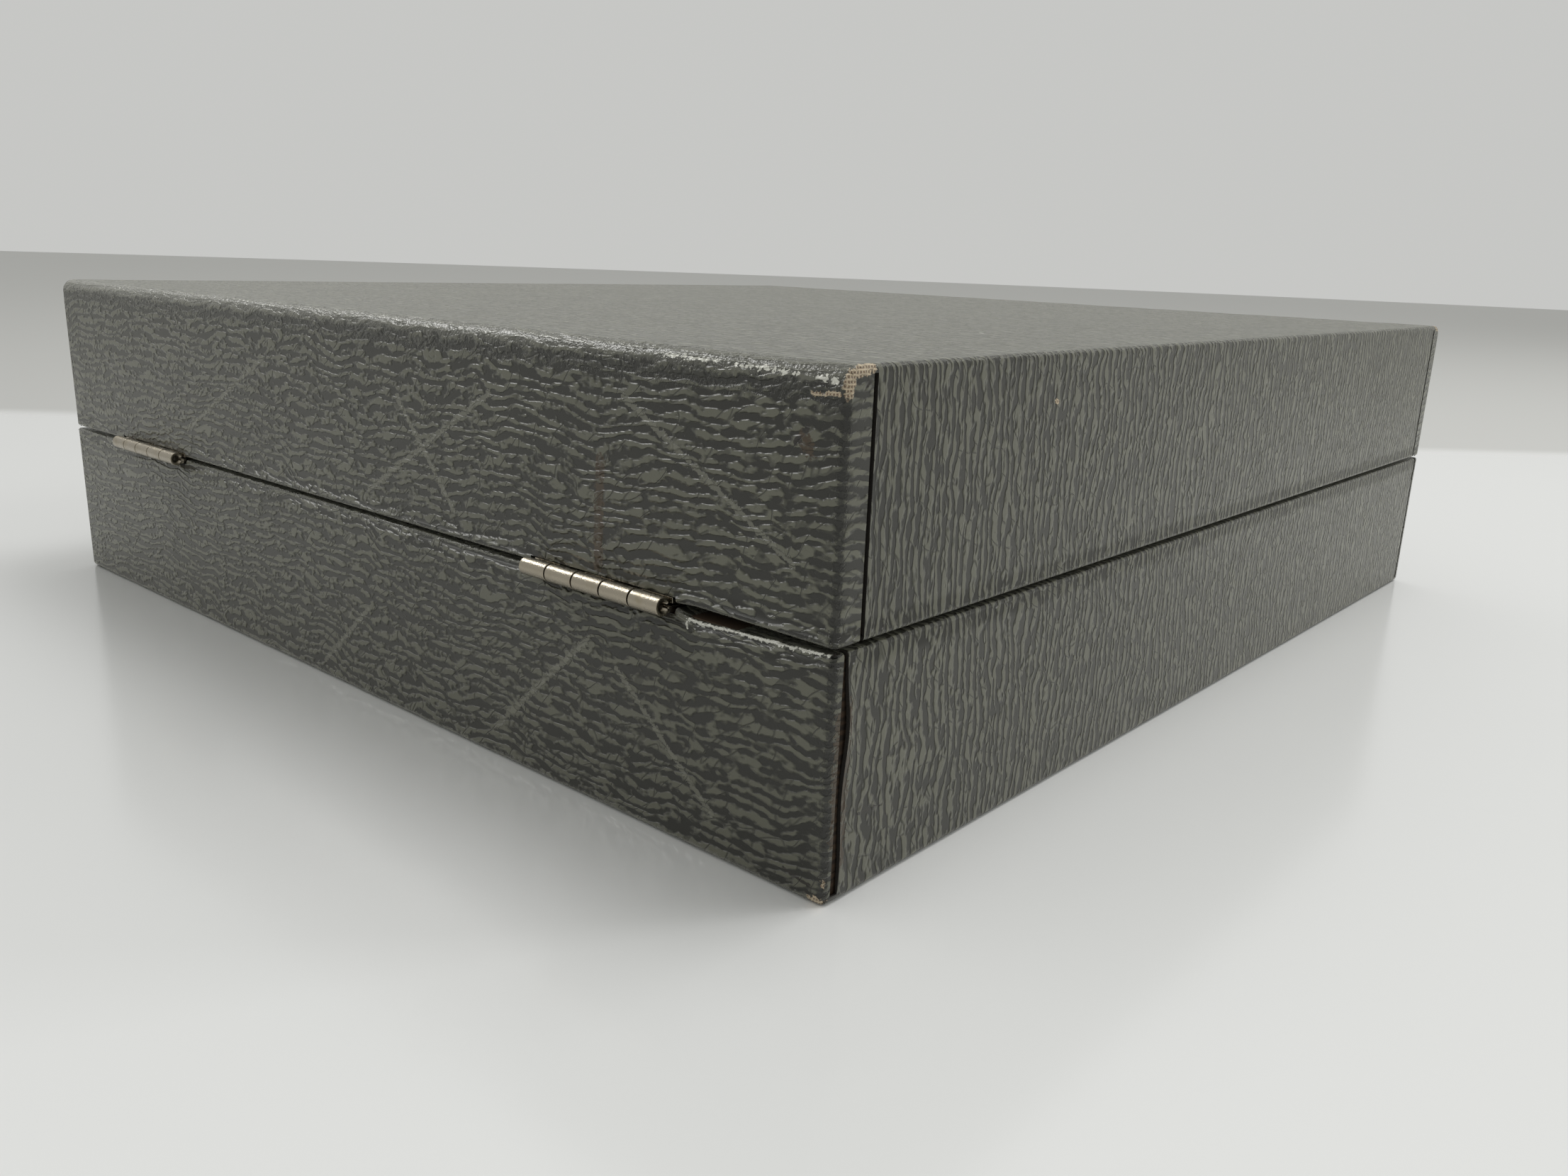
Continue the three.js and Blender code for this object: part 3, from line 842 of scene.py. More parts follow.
    def is_cut_away(self, centre: Vector) -> bool:
        """If a face of the sharp form isn't part of the sheet.

        Args:
            centre: The face's middle.

        Returns:
            True for the mouth, the seams and the hinges' room.
        """
        x, y = abs(centre.x), abs(centre.y)
        on_rim = centre.z > self.rim - ON_FACE
        if on_rim and x < self.inner_half_width and y < self.inner_half_depth:
            return True
        seam_start, seam_stop = self.seam_places()
        on_end = x > self.half_width - ON_FACE
        over_end = on_rim and x > self.half_width - 1.2
        if seam_start < y < seam_stop and ((on_end and centre.z > 1.0) or over_end):
            return True
        leaf_y, leaf_z = self.leaf_place()
        beside_leaf = any(low < centre.x < high for low, high in self.hinge_spans())
        return beside_leaf and centre.y > leaf_y and centre.z > leaf_z and (
            on_rim or centre.y > self.half_depth - ON_FACE
        )

    def flat_place(self, point: Vector, centre: Vector) -> tuple[float, float]:
        """Where a point of the folded sheet is on the flat one.

        Args:
            point: The point on the sharp form.
            centre: The middle of the face that it is a corner of.

        Returns:
            Its place along the grain and across it, in metres.
        """
        x, y = abs(centre.x), abs(centre.y)
        side_x, side_y = math.copysign(1, centre.x), math.copysign(1, centre.y)
        in_x, in_y = self.half_width - abs(point.x), self.half_depth - abs(point.y)
        up = point.z
        on_end = x > self.half_width - ON_FACE
        on_long = y > self.half_depth - ON_FACE
        on_rim = centre.z > self.rim - ON_FACE
        on_inside_x = not (on_end or on_long or on_rim) and abs(x - self.inner_half_width) < 0.8
        tab = y > self.seam_places()[0]
        u, v = point.x, point.y
        if on_end and tab:
            u, v = side_x * (self.half_width + in_y), side_y * (self.half_depth + up)
        elif on_end:
            u = side_x * (self.half_width + up)
        elif on_long:
            v = side_y * (self.half_depth + up)
        elif on_rim and (x < self.half_width - (self.half_depth - y) or y > self.inner_half_depth):
            v = side_y * (self.half_depth + self.rim + in_y)
        elif on_rim:
            u = side_x * (self.half_width + self.rim + in_x)
        elif centre.z > 1.0 and on_inside_x:
            u = side_x * (self.half_width + 2 * self.rim - up + in_x)
        elif centre.z > 1.0:
            v = side_y * (self.half_depth + 2 * self.rim - up + in_y)
        return u * MM, v * MM

    def folded(self, point: Vector) -> Vector:
        """A point of the sharp form as it is on the covered case, with its edges rounded.

        Args:
            point: The point on the sharp form.

        Returns:
            The point on the rounded form.
        """
        depth_x, depth_y = self.depths(point)
        depth_rim, depth_face = self.rim - point.z, point.z
        side = min(depth_x, depth_y)
        depth_rim, new_side = eased(depth_rim, side, self.rim_radius)
        if depth_x <= depth_y:
            depth_x, depth_y = new_side, max(depth_y, new_side)
        else:
            depth_x, depth_y = max(depth_x, new_side), new_side
        around = min(depth_y, depth_face)
        depth_x, new_around = eased(depth_x, around, self.end_edge_radius)
        if depth_y <= depth_face:
            depth_y, depth_face = new_around, max(depth_face, new_around)
        else:
            depth_y, depth_face = max(depth_y, new_around), new_around
        depth_y, depth_face = eased(depth_y, depth_face, self.long_edge_radius)
        z = depth_face if point.z < self.rim / 2 else self.rim - depth_rim
        if point.z < self.rim / 2 and depth_face == point.z:
            z = point.z
        return Vector(
            (
                math.copysign(self.half_width - depth_x, point.x),
                math.copysign(self.half_depth - depth_y, point.y),
                z,
            )
        )

    def outward(self, sharp: Vector) -> Vector:
        """The way out of the case at a point of the sharp form."""
        depths = (*self.depths(sharp), sharp.z)
        if min(depths) > ON_FACE:
            return Vector((0, 0, 0))
        x, y, z = (math.exp(-depth / self.end_edge_radius) for depth in depths)
        return Vector((math.copysign(x, sharp.x), math.copysign(y, sharp.y), -z)).normalized()

    def settled(self, sharp: Vector, round_point: Vector) -> Vector:
        """A point of the rounded form, moved as glue, handling and age have moved the sheet.

        Args:
            sharp: The point on the sharp form.
            round_point: The point on the rounded form.

        Returns:
            The point's last place.
        """
        way = self.outward(sharp)
        _, depth_y = self.depths(sharp)
        rim_depth = self.rim - sharp.z
        edge = math.exp(-((depth_y + sharp.z) / 3.5) ** 2)
        lift = 0.05 * smooth_field(round_point, 14, self.seed)
        lift += edge * 0.11 * smooth_field(round_point, 3.2, self.seed + 5)
        if rim_depth < ON_FACE:
            lift *= 0.3
        moved = round_point + way * (lift - 0.10 * self.crease(sharp))
        near_rim = math.exp(-((rim_depth / 1.6) ** 2))
        if sharp.y > self.inner_half_depth and near_rim > 0.01:
            moved.z -= near_rim * self.rim_sag(sharp.x)
        return self.curled(sharp, moved)

    def rim_sag(self, x: float) -> float:
        """How far the rim sinks beside the left hinge, towards the corner."""
        x = -x if self.flip else x
        spans = self.hinge_spans()
        start = min(min(s) for s in spans) if not self.flip else -max(max(s) for s in spans)
        share = (start - x) / (start + self.half_width)
        if share <= 0 or share >= 1:
            return 0.0
        return self.gap_near_hinge * min(1.0, share / 0.06) * (1 - share) ** 0.8

    def curled(self, sharp: Vector, moved: Vector) -> Vector:
        """Opens the seam at the left back corner, where an end flap's edge has come unstuck.

        Args:
            sharp: The point on the sharp form.
            moved: The point as it is so far.

        Returns:
            The point's place with the flap's edge curled.
        """
        left = sharp.x > 0 if self.flip else sharp.x < 0
        seam_start, seam_stop = self.seam_places()
        far = sharp.y < seam_start - 6 or abs(sharp.x) < self.half_width - ON_FACE
        if not self.curl or not left or far:
            return moved
        height = sharp.z / self.rim
        bulge = math.exp(-(((height - 0.70) / 0.17) ** 2))
        bulge += 0.35 * math.exp(-(((height - 0.18) / 0.14) ** 2))
        if sharp.y <= seam_start + ON_FACE:
            near = math.exp(-((seam_start - sharp.y) / 1.1) ** 2)
            moved.x += math.copysign(self.curl * 0.7 * bulge * near, sharp.x)
            moved.y -= self.curl * bulge * near
        elif sharp.y < self.half_depth - 0.5:
            near = math.exp(-((sharp.y - seam_stop) / 0.6) ** 2)
            moved.y += (1.0 - height) * 0.5 * near
        return moved

    def wear(self, sharp: Vector) -> float:
        """How rubbed the sheet is at a point, from 0 to 1."""
        depth_x, depth_y = self.depths(sharp)
        rim_depth = self.rim - sharp.z
        long_edge = math.exp(-((depth_y + sharp.z) / (1.1 * self.long_edge_radius)) ** 2)
        end_edge = 0.62 * math.exp(-((depth_x + sharp.z) / 0.6) ** 2)
        rubbed_rim = 0.95 if depth_y < depth_x else 0.25
        rim_edge = rubbed_rim * math.exp(-((min(depth_x, depth_y) + rim_depth) / 0.55) ** 2)
        upright = 0.45 * math.exp(-((depth_x + depth_y) / 0.7) ** 2)
        return min(1.0, max(long_edge, end_edge, rim_edge, upright))

    def share_of_thickness(self, sharp: Vector) -> float:
        """How much of the sheet's thickness is left at a point, from 0 to 1, least at a corner."""
        depth_x, depth_y = self.depths(sharp)
        return 1.0 - 0.85 * math.exp(-((depth_x + depth_y + sharp.z) / 4.0) ** 2)

    def crease(self, sharp: Vector) -> float:
        """How sharply the sheet is pinched at a point, from 0 to 1; it sinks the sheet there and sets
        where the leatherette gets painted shade.
        """
        depth_x, depth_y = self.depths(sharp)
        upright = 0.85 * math.exp(-((depth_x + depth_y) / 1.0) ** 2)
        below_edge = 0.0
        if depth_y < ON_FACE:
            below_edge = math.exp(-((sharp.z - 1.12 * self.long_edge_radius) / 0.4) ** 2)
        return max(upright, self.crumple * below_edge)

    def build(self, leatherette: bpy.types.Material, backing: bpy.types.Material) -> Object:
        """Folds, wears and finishes the covering.

        Args:
            leatherette: The sheet's face.
            backing: The sheet's back and cut edges.

        Returns:
            The piece.
        """
        bm = self.sharp_form()
        gone = [f for f in bm.faces if self.is_cut_away(f.calc_center_median())]
        bmesh.ops.delete(bm, geom=gone, context="FACES")
        mouth = [e for e in bm.edges if e.is_boundary and self.on_mouth(e)]
        down = bmesh.ops.extrude_edge_only(bm, edges=mouth)["geom"]
        hung = [v for v in down if isinstance(v, bmesh.types.BMVert)]
        bmesh.ops.translate(bm, verts=hung, vec=(0, 0, -self.turn_in))
        bmesh.ops.recalc_face_normals(bm, faces=bm.faces)
        sheet = bm.loops.layers.uv.new("sheet")
        cut_area = 0.0
        for face in bm.faces:
            centre = face.calc_center_median()
            for loop in face.loops:
                loop[sheet].uv = self.flat_place(loop.vert.co, centre)
            cut_area += face.calc_area() * MM * MM
        worn = bm.verts.layers.float.new("wear")
        # The crease layer sets where the sheet is pinched and where the leatherette gets painted shade.
        pinch_and_shade = bm.verts.layers.float.new("crease")
        full = bm.verts.layers.deform.verify()
        for vert in bm.verts:
            sharp = vert.co.copy()
            vert[worn], vert[pinch_and_shade] = self.wear(sharp), self.crease(sharp)
            vert[full][0] = self.share_of_thickness(sharp)
            vert.co = self.settled(sharp, self.folded(sharp))
        for edge in bm.edges:
            edge.smooth = not edge.is_boundary
        turn = Matrix.Identity(4)
        if self.flip:
            turn = Matrix.Translation((0, 0, self.closed_at)) @ Matrix.Rotation(math.pi, 4, "Y")
        bmesh.ops.transform(bm, matrix=turn, verts=bm.verts)
        piece = finish_piece(
            bm, self.name, [leatherette, backing], self.body, [self.replaces]
        )
        group = piece.vertex_groups.new(name="thickness")
        wall = piece.modifiers.new("sheet_thickness", "SOLIDIFY")
        wall.vertex_group = group.name
        wall.thickness = self.thickness * MM
        wall.offset = -1
        wall.use_rim = True
        wall.material_offset = 1
        wall.material_offset_rim = 1
        return piece

    def on_mouth(self, edge: bmesh.types.BMEdge) -> bool:
        """If an edge runs round the mouth, just inside the walls."""
        return all(
            v.co.z > self.rim - ON_FACE
            and abs(v.co.x) < self.inner_half_width + ON_FACE
            and abs(v.co.y) < self.inner_half_depth + ON_FACE
            for v in edge.verts
        )


# ---- The woodwork, the lining and the pad -----------------------------------------------------


def eased_copy(node: str, width: float, angle: float = 30.0) -> bmesh.types.BMesh:
    """A copy of a CAD node's mesh with its sharp edges eased.

    Args:
        node: The node's name.
        width: How far each edge is taken off, in millimetres.
        angle: The least turn of an edge that counts as sharp, in degrees.

    Returns:
        The mesh, in millimetres.
    """
    bm = bmesh.new()
    bm.from_mesh(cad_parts[node].data)
    bmesh.ops.scale(bm, verts=bm.verts, vec=(1 / MM, 1 / MM, 1 / MM))
    bmesh.ops.remove_doubles(bm, verts=bm.verts, dist=1e-3)
    flat = math.radians(0.5)
    bmesh.ops.dissolve_limit(bm, angle_limit=flat, verts=bm.verts, edges=bm.edges)
    bevel(bm, sharp_edges(bm, angle), width)
    for edge in bm.edges:
        edge.smooth = not (edge.is_manifold and edge.calc_face_angle() > math.radians(50))
    return bm


@dataclass
class CaseBoards:
    """The plywood board and walls of both halves and their paper linings."""

    plywood: bpy.types.Material
    paper: bpy.types.Material

    def build(self) -> None:
        """Dresses the boards, the walls and the linings where they are."""
        for half in (Body.BASE, Body.LID):
            for part in ("board", "back_wall", "front_wall", "left_wall", "right_wall"):
                self.dress(f"{half.value}_{part}", self.plywood)
            self.dress(f"{half.value}_lining", self.paper)

    def dress(self, node: str, material: bpy.types.Material) -> None:
        """Gives a CAD node its finish."""
        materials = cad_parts[node].data.materials
        materials.clear()
        materials.append(material)
        LOG.info("%s: dressed in %s", node, material.name)


@dataclass
class TypeTray:
    """The beech tray: a floor, four rails, a spine and the dividers between the rows of type."""

    along_x: bpy.types.Material
    along_y: bpy.types.Material
    easing: float = 0.3

    def build(self) -> None:
        """Eases and finishes every strip of the tray."""
        for name in sorted(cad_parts):
            if name.startswith("tray_"):
                lengthways = name in ("tray_left_rail", "tray_right_rail", "tray_spine")
                wood = self.along_y if lengthways else self.along_x
                bm = eased_copy(name, self.easing)
                weigh_normals(
                    finish_piece(bm, f"{name}_eased", [wood], Body.BASE, [name])
                )


@dataclass
class LidPad:
    """The foam pad that fills the lid and keeps the type down."""

    foam: bpy.types.Material
    crown: float = 1.5
    waist: float = 0.9
    grid: float = 13.0
    edge_lines: tuple[float, ...] = (1.2, 3.5)

    def build(self) -> None:
        """Makes the pad, crowned towards the tray and drawn in between its corners."""
        low, high = node_box("lid_pad")
        bm = bmesh.new()
        add_box(bm, low, high)
        for axis in range(3):
            start, stop = low[axis], high[axis]
            ends = [start + d for d in self.edge_lines] + [stop - d for d in self.edge_lines]
            inner = evenly(start + self.edge_lines[-1], stop - self.edge_lines[-1], self.grid)
            cut_lines(bm, axis, ends + inner)
        for vert in bm.verts:
            vert.co = self.relaxed(vert.co, low, high)
        piece = finish_piece(bm, "lid_pad_foam", [self.foam], Body.LID, ["lid_pad"])
        soft = piece.modifiers.new("soft", "SUBSURF")
        soft.levels = soft.render_levels = 2

    def relaxed(self, point: Vector, low: Vector, high: Vector) -> Vector:
        """A point of the square block as it is on the relaxed pad.

        Args:
            point: The point on the block.
            low: The block's lowest corner.
            high: The block's highest corner.

        Returns:
            The point on the pad.
        """
        middle, half = (low + high) / 2, (high - low) / 2
        u, v, w = (max(-1, min(1, (point[i] - middle[i]) / half[i])) for i in range(3))
        face = 1 - (1 - u**6) * (1 - v**6)
        down = max(0.0, -w)
        moved = point.copy()
        moved.x -= math.copysign(self.waist * (1 - v * v) * abs(u) ** 8, u)
        moved.y -= math.copysign(self.waist * (1 - u * u) * abs(v) ** 8, v)
        moved.z += down * (self.crown * face + 0.15 + 0.12 * smooth_field(point, 22, 4.0))
        return moved


# ---- Metalwork --------------------------------------------------------------------------------


@dataclass
class Hinge:
    """A small butt hinge, whose leaves are rolled into knuckles round a pin."""

    side: str
    nickel: bpy.types.Material
    steel: bpy.types.Material
    knuckles: int = 5
    running_gap: float = 0.3
    strip: float = 0.6
    leaf_gap: float = 0.3
    leaf_thickness: float = 0.8
    roll_start: float = 205.0
    roll_turn: float = 318.0
    roll_steps: int = 40
    root_overlap: float = 0.45
    easing: float = 0.07
    nail_easing: float = 0.06
    pin_easing: float = 0.12
    axis: Vector = field(init=False)
    pin_radius: float = field(init=False)
    start: float = field(init=False)
    length: float = field(init=False)
    leaf_edge: float = field(init=False)
    barrel_radius: float = field(init=False)

    def __post_init__(self) -> None:
        """Takes the hinge's sizes from the frame."""
        low, high = node_box(f"{self.side}_hinge_pin")
        self.axis = (low + high) / 2
        self.pin_radius = (high.z - low.z) / 2
        leaf_low, leaf_high = node_box(f"{self.side}_hinge_base_leaf")
        self.start, self.length = leaf_low.x, leaf_high.x - leaf_low.x
        self.leaf_edge = leaf_low.y
        self.barrel_radius = leaf_high.y - self.axis.y

    def build(self) -> None:
        """Makes both leaves, the pin and the nails."""
        self.build_leaf(Body.BASE)
        self.build_leaf(Body.LID)
        self.build_pin()
        for body in (Body.BASE, Body.LID):
            for number in (1, 2):
                name = f"{self.side}_hinge_{body.value}_nail_{number}"
                bm = eased_copy(name, self.nail_easing, 50)
                weigh_normals(
                    finish_piece(bm, f"{name}_plated", [self.nickel], body, [name])
                )

    def spans(self, body: Body) -> list[tuple[float, float]]:
        """The spans along X of one leaf's knuckles."""
        width = (self.length - (self.knuckles - 1) * self.running_gap) / self.knuckles
        first = 0 if body is Body.BASE else 1
        pitch = width + self.running_gap
        starts = [self.start + i * pitch for i in range(first, self.knuckles, 2)]
        return [(start, start + width) for start in starts]

    def build_leaf(self, body: Body) -> None:
        """Makes a leaf below the axis and turns it over if it is the lid's."""
        bm = bmesh.new()
        spans = self.spans(body)
        top = self.axis.z - self.leaf_gap / 2
        root = self.axis.y - self.barrel_radius - self.running_gap
        low = (self.start, self.leaf_edge, top - self.leaf_thickness)
        high = (self.start + self.length, root, top)
        add_box(bm, low, high)
        cuts = [x for span in spans for x in span]
        cut_lines(bm, 0, [x for x in cuts if low[0] + 0.01 < x < high[0] - 0.01])
        tongues = [
            f
            for f in bm.faces
            if f.normal.y > 0.9 and any(a < f.calc_center_median().x < b for a, b in spans)
        ]
        for tongue in tongues:
            out = bmesh.ops.extrude_discrete_faces(bm, faces=[tongue])["faces"][0]
            reach = self.axis.y - self.barrel_radius + self.root_overlap - root
            bmesh.ops.translate(bm, verts=out.verts, vec=(0, reach, 0))
        bevel(bm, sharp_edges(bm, 40), self.easing)
        for span in spans:
            self.roll_knuckle(bm, span)
        if body is Body.LID:
            to_axis = Matrix.Translation(self.axis)
            over = to_axis @ Matrix.Scale(-1, 4, (0, 0, 1)) @ to_axis.inverted()
            bmesh.ops.transform(bm, matrix=over, verts=bm.verts)
        bmesh.ops.recalc_face_normals(bm, faces=bm.faces)
        name = f"{self.side}_hinge_{body.value}_leaf"
        weigh_normals(finish_piece(bm, f"{name}_rolled", [self.nickel], body, [name]))

    def roll_knuckle(self, bm: bmesh.types.BMesh, span: tuple[float, float]) -> None:
        """Rolls the strip round the pin over one knuckle's span.

        Args:
            bm: The leaf's mesh.
            span: The knuckle's span along X.
        """
        start = math.radians(self.roll_start)
        way = Vector((0, math.cos(start), math.sin(start)))
        centre = Vector((span[0], self.axis.y, self.axis.z))
        inner = bm.verts.new(centre + way * (self.barrel_radius - self.strip))
        outer = bm.verts.new(centre + way * self.barrel_radius)
        edge = bm.edges.new((inner, outer))
        bmesh.ops.spin(
            bm,
            geom=[inner, outer, edge],
            cent=centre,
            axis=(1, 0, 0),
            angle=math.radians(self.roll_turn),
            steps=self.roll_steps,
            use_duplicate=False,
        )
        reach = self.barrel_radius + ON_FACE
        end = [f for f in bm.faces if all(abs(v.co.x - span[0]) < 1e-5 for v in f.verts)]
        end = [f for f in end if all((v.co - centre).length < reach for v in f.verts)]
        out = bmesh.ops.extrude_face_region(bm, geom=end, use_keep_orig=True)["geom"]
        moved = [v for v in out if isinstance(v, bmesh.types.BMVert)]
        bmesh.ops.translate(bm, verts=moved, vec=(span[1] - span[0], 0, 0))
        rims = [e for e in bm.edges if self.on_knuckle_rim(e, span)]
        bevel(bm, rims, self.easing)

    def on_knuckle_rim(self, edge: bmesh.types.BMEdge, span: tuple[float, float]) -> bool:
        """If an edge is on the outer rim of a knuckle's end."""
        if not edge.is_manifold or edge.calc_face_angle() < math.radians(50):
            return False
        level = any(all(abs(v.co.x - x) < 1e-4 for v in edge.verts) for x in span)
        arms = [v.co - self.axis for v in edge.verts]
        return level and all(
            abs(math.hypot(arm.y, arm.z) - self.barrel_radius) < ON_FACE for arm in arms
        )

    def build_pin(self) -> None:
        """Makes the pin, with its ends eased."""
        name = f"{self.side}_hinge_pin"
        low, high = node_box(name)
        bm = bmesh.new()
        bmesh.ops.create_cone(
            bm,
            cap_ends=True,
            segments=32,
            radius1=self.pin_radius,
            radius2=self.pin_radius,
            depth=high.x - low.x,
        )
        bevel(bm, sharp_edges(bm, 50), self.pin_easing)
        turn = Matrix.Translation(self.axis) @ Matrix.Rotation(math.pi / 2, 4, "Y")
        bmesh.ops.transform(bm, matrix=turn, verts=bm.verts)
        weigh_normals(finish_piece(bm, f"{name}_turned", [self.steel], Body.BASE, [name]))


@dataclass
class Catch:
    """The drop catch on the front: a plate and pin on the lid, a hasp, and a keeper on the base."""

    nickel: bpy.types.Material
    easing: float = 0.12
    nail_easing: float = 0.05

    def build(self) -> None:
        """Eases and finishes every piece of the catch."""
        bodies = {
            "catch_plate": Body.LID,
            "catch_pin": Body.LID,
            "catch_hasp": Body.HASP,
            "catch_keeper": Body.BASE,
        }
        for name, body in bodies.items():
            self.finish(name, body, self.easing)
        for plate in ("catch_plate", "catch_keeper"):
            for number in (1, 2):
                self.finish(f"{plate}_nail_{number}", bodies[plate], self.nail_easing)

    def finish(self, name: str, body: Body, easing: float) -> None:
        """Eases one piece's edges and plates it."""
        bm = eased_copy(name, easing, 35)
        weigh_normals(finish_piece(bm, f"{name}_plated", [self.nickel], body, [name]))


# ---- Stage ------------------------------------------------------------------------------------


@dataclass(frozen=True)
class Lamp:
    """A square soft lamp: its place, the point that it faces, its side and its power in watts."""

    name: str
    at: Point
    aim: Point
    side: float
    power: float
    glossy: bool = True

    def hang(self) -> Object:
        """Hangs the lamp.

        Returns:
            The lamp.
        """
        lamp = bpy.data.lights.new(self.name, "AREA")
        lamp.size, lamp.energy = self.side, self.power
        holder = bpy.data.objects.new(self.name, lamp)
        holder.location = self.at
        way = Vector(self.aim) - Vector(self.at)
        holder.rotation_euler = way.to_track_quat("-Z", "Y").to_euler()
        holder.visible_glossy = self.glossy
        bpy.context.scene.collection.objects.link(holder)
        return holder


@dataclass
class Stage:
    """The table, the light and the camera."""

    table_radius: float = 4.0
    table_drop: float = 0.00005
    sky: Colour = (0.98, 0.985, 0.96)
    sky_strength: float = 0.58
    overhead: Lamp = Lamp("overhead", (-0.20, -0.25, 1.10), (0.0, 0.0, 0.0), 0.5, 4.5)
    raking: Lamp = Lamp("raking", (-0.95, -1.20, 0.75), (-0.1, 0.0, 0.03), 0.35, 4.0, False)
    glint: Lamp = Lamp("glint", (0.80, 0.20, 0.78), (0.0, 0.1, 0.05), 0.30, 2.6)
    camera_at: Point = (-0.188855, 0.217780, 0.074575)
    heading: float = 139.300
    tilt: float = -15.227
    roll: float = 2.177
    sensor: float = 36.0
    lens: float = 28.202

    def build(self, top: bpy.types.Material) -> None:
        """Sets the table, the light and the camera up."""
        self.lay_table(top)
        self.hang_lights()
        self.place_camera()

    def lay_table(self, top: bpy.types.Material) -> None:
        """A flat table top just under the case."""
        bm = bmesh.new()
        bmesh.ops.create_circle(bm, cap_ends=True, segments=96, radius=self.table_radius)
        bmesh.ops.translate(bm, verts=bm.verts, vec=(0, 0, -self.table_drop))
        mesh = bpy.data.meshes.new("table")
        bm.to_mesh(mesh)
        bm.free()
        mesh.materials.append(top)
        table = bpy.data.objects.new("table", mesh)
        bpy.context.scene.collection.objects.link(table)

    def hang_lights(self) -> None:
        """A soft sky, a lamp overhead, one that rakes the end face and one that glints on edges."""
        scene = bpy.context.scene
        scene.view_settings.view_transform = "Standard"
        world = bpy.data.worlds.new("studio")
        scene.world = world
        world.use_nodes = True
        sky = world.node_tree.nodes["Background"]
        sky.inputs["Color"].default_value = (*self.sky, 1.0)
        sky.inputs["Strength"].default_value = self.sky_strength
        self.overhead.hang()
        self.raking.hang()
        glint = self.glint.hang()
        unlit = bpy.data.collections.new("not_lit_by_glint")
        unlit.objects.link(bpy.data.objects["table"])
        glint.light_linking.receiver_collection = unlit
        unlit.collection_objects[0].light_linking.link_state = "EXCLUDE"

    def place_camera(self) -> None:
        """Stands the camera at the hinge side's left corner, just above the lid."""
        lens = bpy.data.cameras.new("camera")
        lens.sensor_width, lens.lens = self.sensor, self.lens
        lens.clip_start, lens.clip_end = 0.01, 20.0
        camera = bpy.data.objects.new("camera", lens)
        turn = Euler((math.radians(90 + self.tilt), 0, math.radians(-self.heading))).to_matrix()
        turn = turn @ Matrix.Rotation(math.radians(self.roll), 3, "Z")
        camera.matrix_world = Matrix.Translation(self.camera_at) @ turn.to_4x4()
        bpy.context.scene.collection.objects.link(camera)
        bpy.context.scene.camera = camera


def lid_leatherette(left: float, back: float) -> Leatherette:
    """The lid's leatherette, with the wear and the stains that it has, painted highlights along its back
    edge and painted shade in a small hole.

    Args:
        left: Where the left end face is along X.
        back: Where the back face is along Y.

    Returns:
        The finish.
    """
    return Leatherette(
        "lid_leatherette",
        stains=(
            Mark((-68.2, back, 34.0), (-68.8, back, 48.2), 1.0, 0.45),
            Mark((-103.6, back, 54.0), (-102.6, back, 55.4), 0.9, 0.7),
        ),
        specks_and_hole_shade=(
            Mark((-103.2, back, 56.5), (-102.9, back, 56.0), 0.42, 0.2),
            Mark((-102.0, back, 55.0), (-101.5, back, 54.6), 0.42, 0.2),
            Mark((-77.9, 77.2, 63.5), (-77.4, 76.6, 63.5), 0.5, 0.2),
            # Painted shade: this dark spot stands for a small hole under the bare cloth.
            Mark((left, 112.0, 61.3), (left, 111.6, 61.6), 0.36, 0.15),
        ),
        # Painted highlights along the rounded back edge; the last mark is a scuff on the top.
        highlights_and_scuffs=(
            Mark((-106.9, 115.0, 61.7), (-104.2, 115.0, 61.9), 0.30, 0.40),
            Mark((-101.5, 114.9, 62.0), (-92.0, 114.9, 62.1), 0.24, 0.45),
            Mark((-89.0, 114.8, 62.3), (-80.0, 114.8, 62.4), 0.22, 0.45),
            Mark((-81.8, 47.4, 63.5), (-81.2, 46.9, 63.5), 0.30, 0.20),
        ),
        bare_cloth=(
            Mark((left, 115.0, 60.5), (left, 114.5, 62.2), 0.85, 0.35),
            Mark((left, 114.2, 62.6), (-108.2, 110.9, 63.3), 0.8, 0.45),
            Mark((-107.4, back, 60.4), (-103.7, back, 60.1), 0.32, 0.25),
            Mark((left, -115.0, 62.9), (-108.2, -112.2, 63.3), 1.0, 0.5),
            Mark((left, 70.4, 57.0), (left, 70.0, 56.8), 0.42, 0.2),
        ),
        creases=(
            Mark((21.9, 127.2, 0.0), (35.8, 142.6, 0.0), 0.55, 0.4),
            Mark((45.3, 124.4, 0.0), (12.4, 143.0, 0.0), 0.50, 0.4),
            Mark((73.3, 122.0, 0.0), (102.0, 138.2, 0.0), 0.45, 0.4),
            Mark((-20.0, 125.0, 0.0), (-52.0, 141.0, 0.0), 0.45, 0.4),
        ),
    )


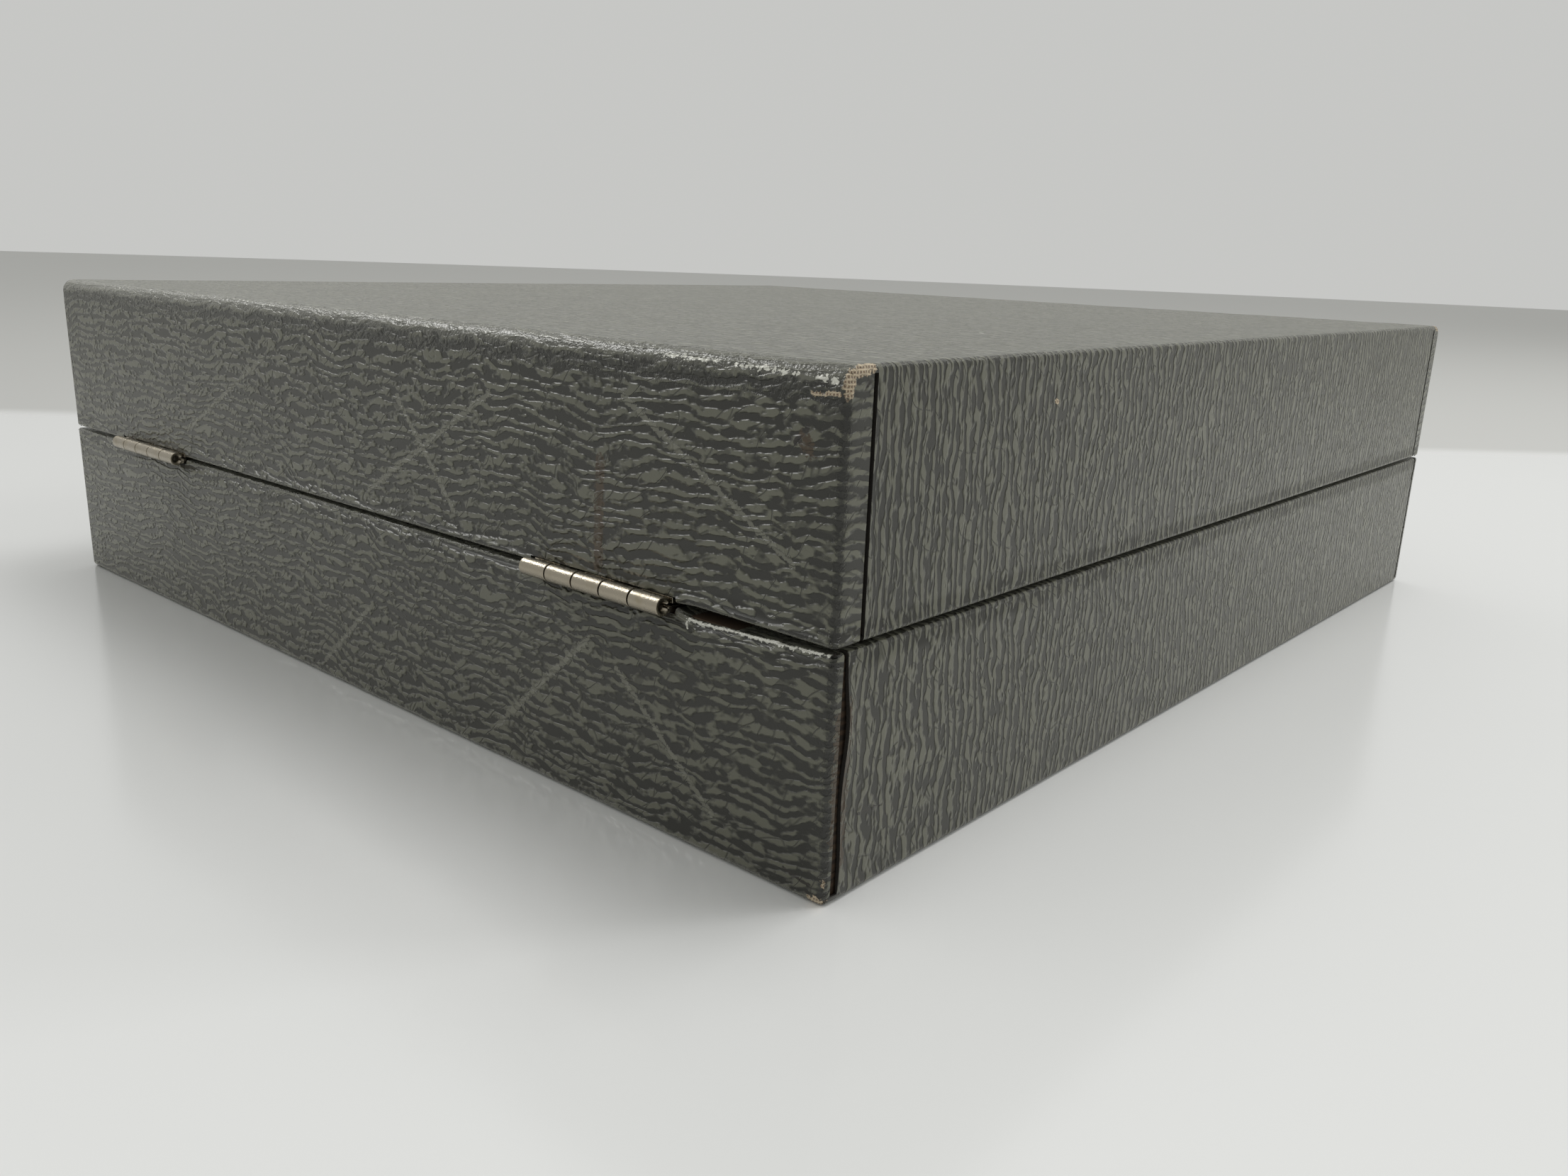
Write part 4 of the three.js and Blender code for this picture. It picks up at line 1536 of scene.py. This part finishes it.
def base_leatherette(left: float, back: float) -> Leatherette:
    """The base's leatherette, with the wear and the stains that it has, and painted highlights along its
    back rim.

    Args:
        left: Where the left end face is along X.
        back: Where the back face is along Y.

    Returns:
        The finish.
    """
    return Leatherette(
        "base_leatherette",
        stains=(
            Mark((left, 112.5, 5.0), (left, 112.3, 25.0), 0.8, 0.6),
            Mark((left, 113.9, 8.0), (left, 113.9, 24.0), 0.5, 0.5),
        ),
        specks_and_hole_shade=(
            Mark((-106.4, back, 2.2), (-102.2, back, 3.0), 0.26, 0.2),
            Mark((left, 109.3, 10.3), (left, 105.0, 10.0), 0.24, 0.2),
        ),
        # Painted highlights along the back rim beside the left hinge.
        highlights_and_scuffs=(
            Mark((-85.0, 115.1, 30.45), (-97.0, 115.1, 30.85), 0.24, 0.30),
            Mark((-96.0, 115.1, 30.82), (-107.6, 115.1, 31.25), 0.26, 0.30),
            Mark((-85.0, 115.2, 30.3), (-85.1, 115.2, 29.4), 0.18, 0.25),
        ),
        bare_cloth=(
            Mark((left, back, 0.5), (-106.6, back, 0.5), 0.75, 0.45),
            Mark((-108.3, 115.0, 2.9), (-108.4, 115.0, 3.3), 0.45, 0.3),
        ),
        creases=(
            Mark((-44.9, 120.0, 0.0), (-66.3, 138.9, 0.0), 0.55, 0.4),
            Mark((4.6, 118.2, 0.0), (-10.4, 130.7, 0.0), 0.50, 0.4),
            Mark((-90.0, 121.0, 0.0), (-72.0, 136.0, 0.0), 0.45, 0.4),
        ),
    )


def main() -> None:
    """Builds the type case piece by piece."""
    logging.basicConfig(level=logging.INFO, format="%(name)s: %(message)s")
    Stage().build(TableTop().build())
    backing = ClothBacking().build()
    low, high = node_box("lid_cover")
    walls = ("board", "left_wall", "right_wall", "back_wall", "front_wall")
    lid_leather = lid_leatherette(low.x, high.y).build()
    base_leather = base_leatherette(low.x, high.y).build()
    CoverForm(
        name="base_covering",
        body=Body.BASE,
        long_edge_radius=1.0,
        tab_width=1.8,
        closed_at=high.z,
        flip=False,
        replaces="base_cover",
        rests_on=tuple(f"base_{part}" for part in walls),
        curl=0.5,
        seed=3.0,
    ).build(base_leather, backing)
    CoverForm(
        name="lid_covering",
        body=Body.LID,
        long_edge_radius=2.4,
        tab_width=4.5,
        closed_at=high.z,
        flip=True,
        replaces="lid_cover",
        rests_on=tuple(f"lid_{part}" for part in walls),
        gap_near_hinge=0.3,
        crumple=0.95,
        seed=11.0,
    ).build(lid_leather, backing)
    CaseBoards(Plywood().build(), LiningPaper().build()).build()
    across = Beech("beech_across", Grain.ALONG_X).build()
    TypeTray(across, Beech("beech_along", Grain.ALONG_Y).build()).build()
    LidPad(Foam().build()).build()
    nickel = Nickel("nickel").build()
    steel = Nickel("pin_steel", colour=(0.10, 0.09, 0.075), tarnish=(0.03, 0.02, 0.012)).build()
    Hinge("left", nickel, steel).build()
    Hinge("right", nickel, steel).build()
    Catch(nickel).build()


if __name__ == "__main__":
    main()
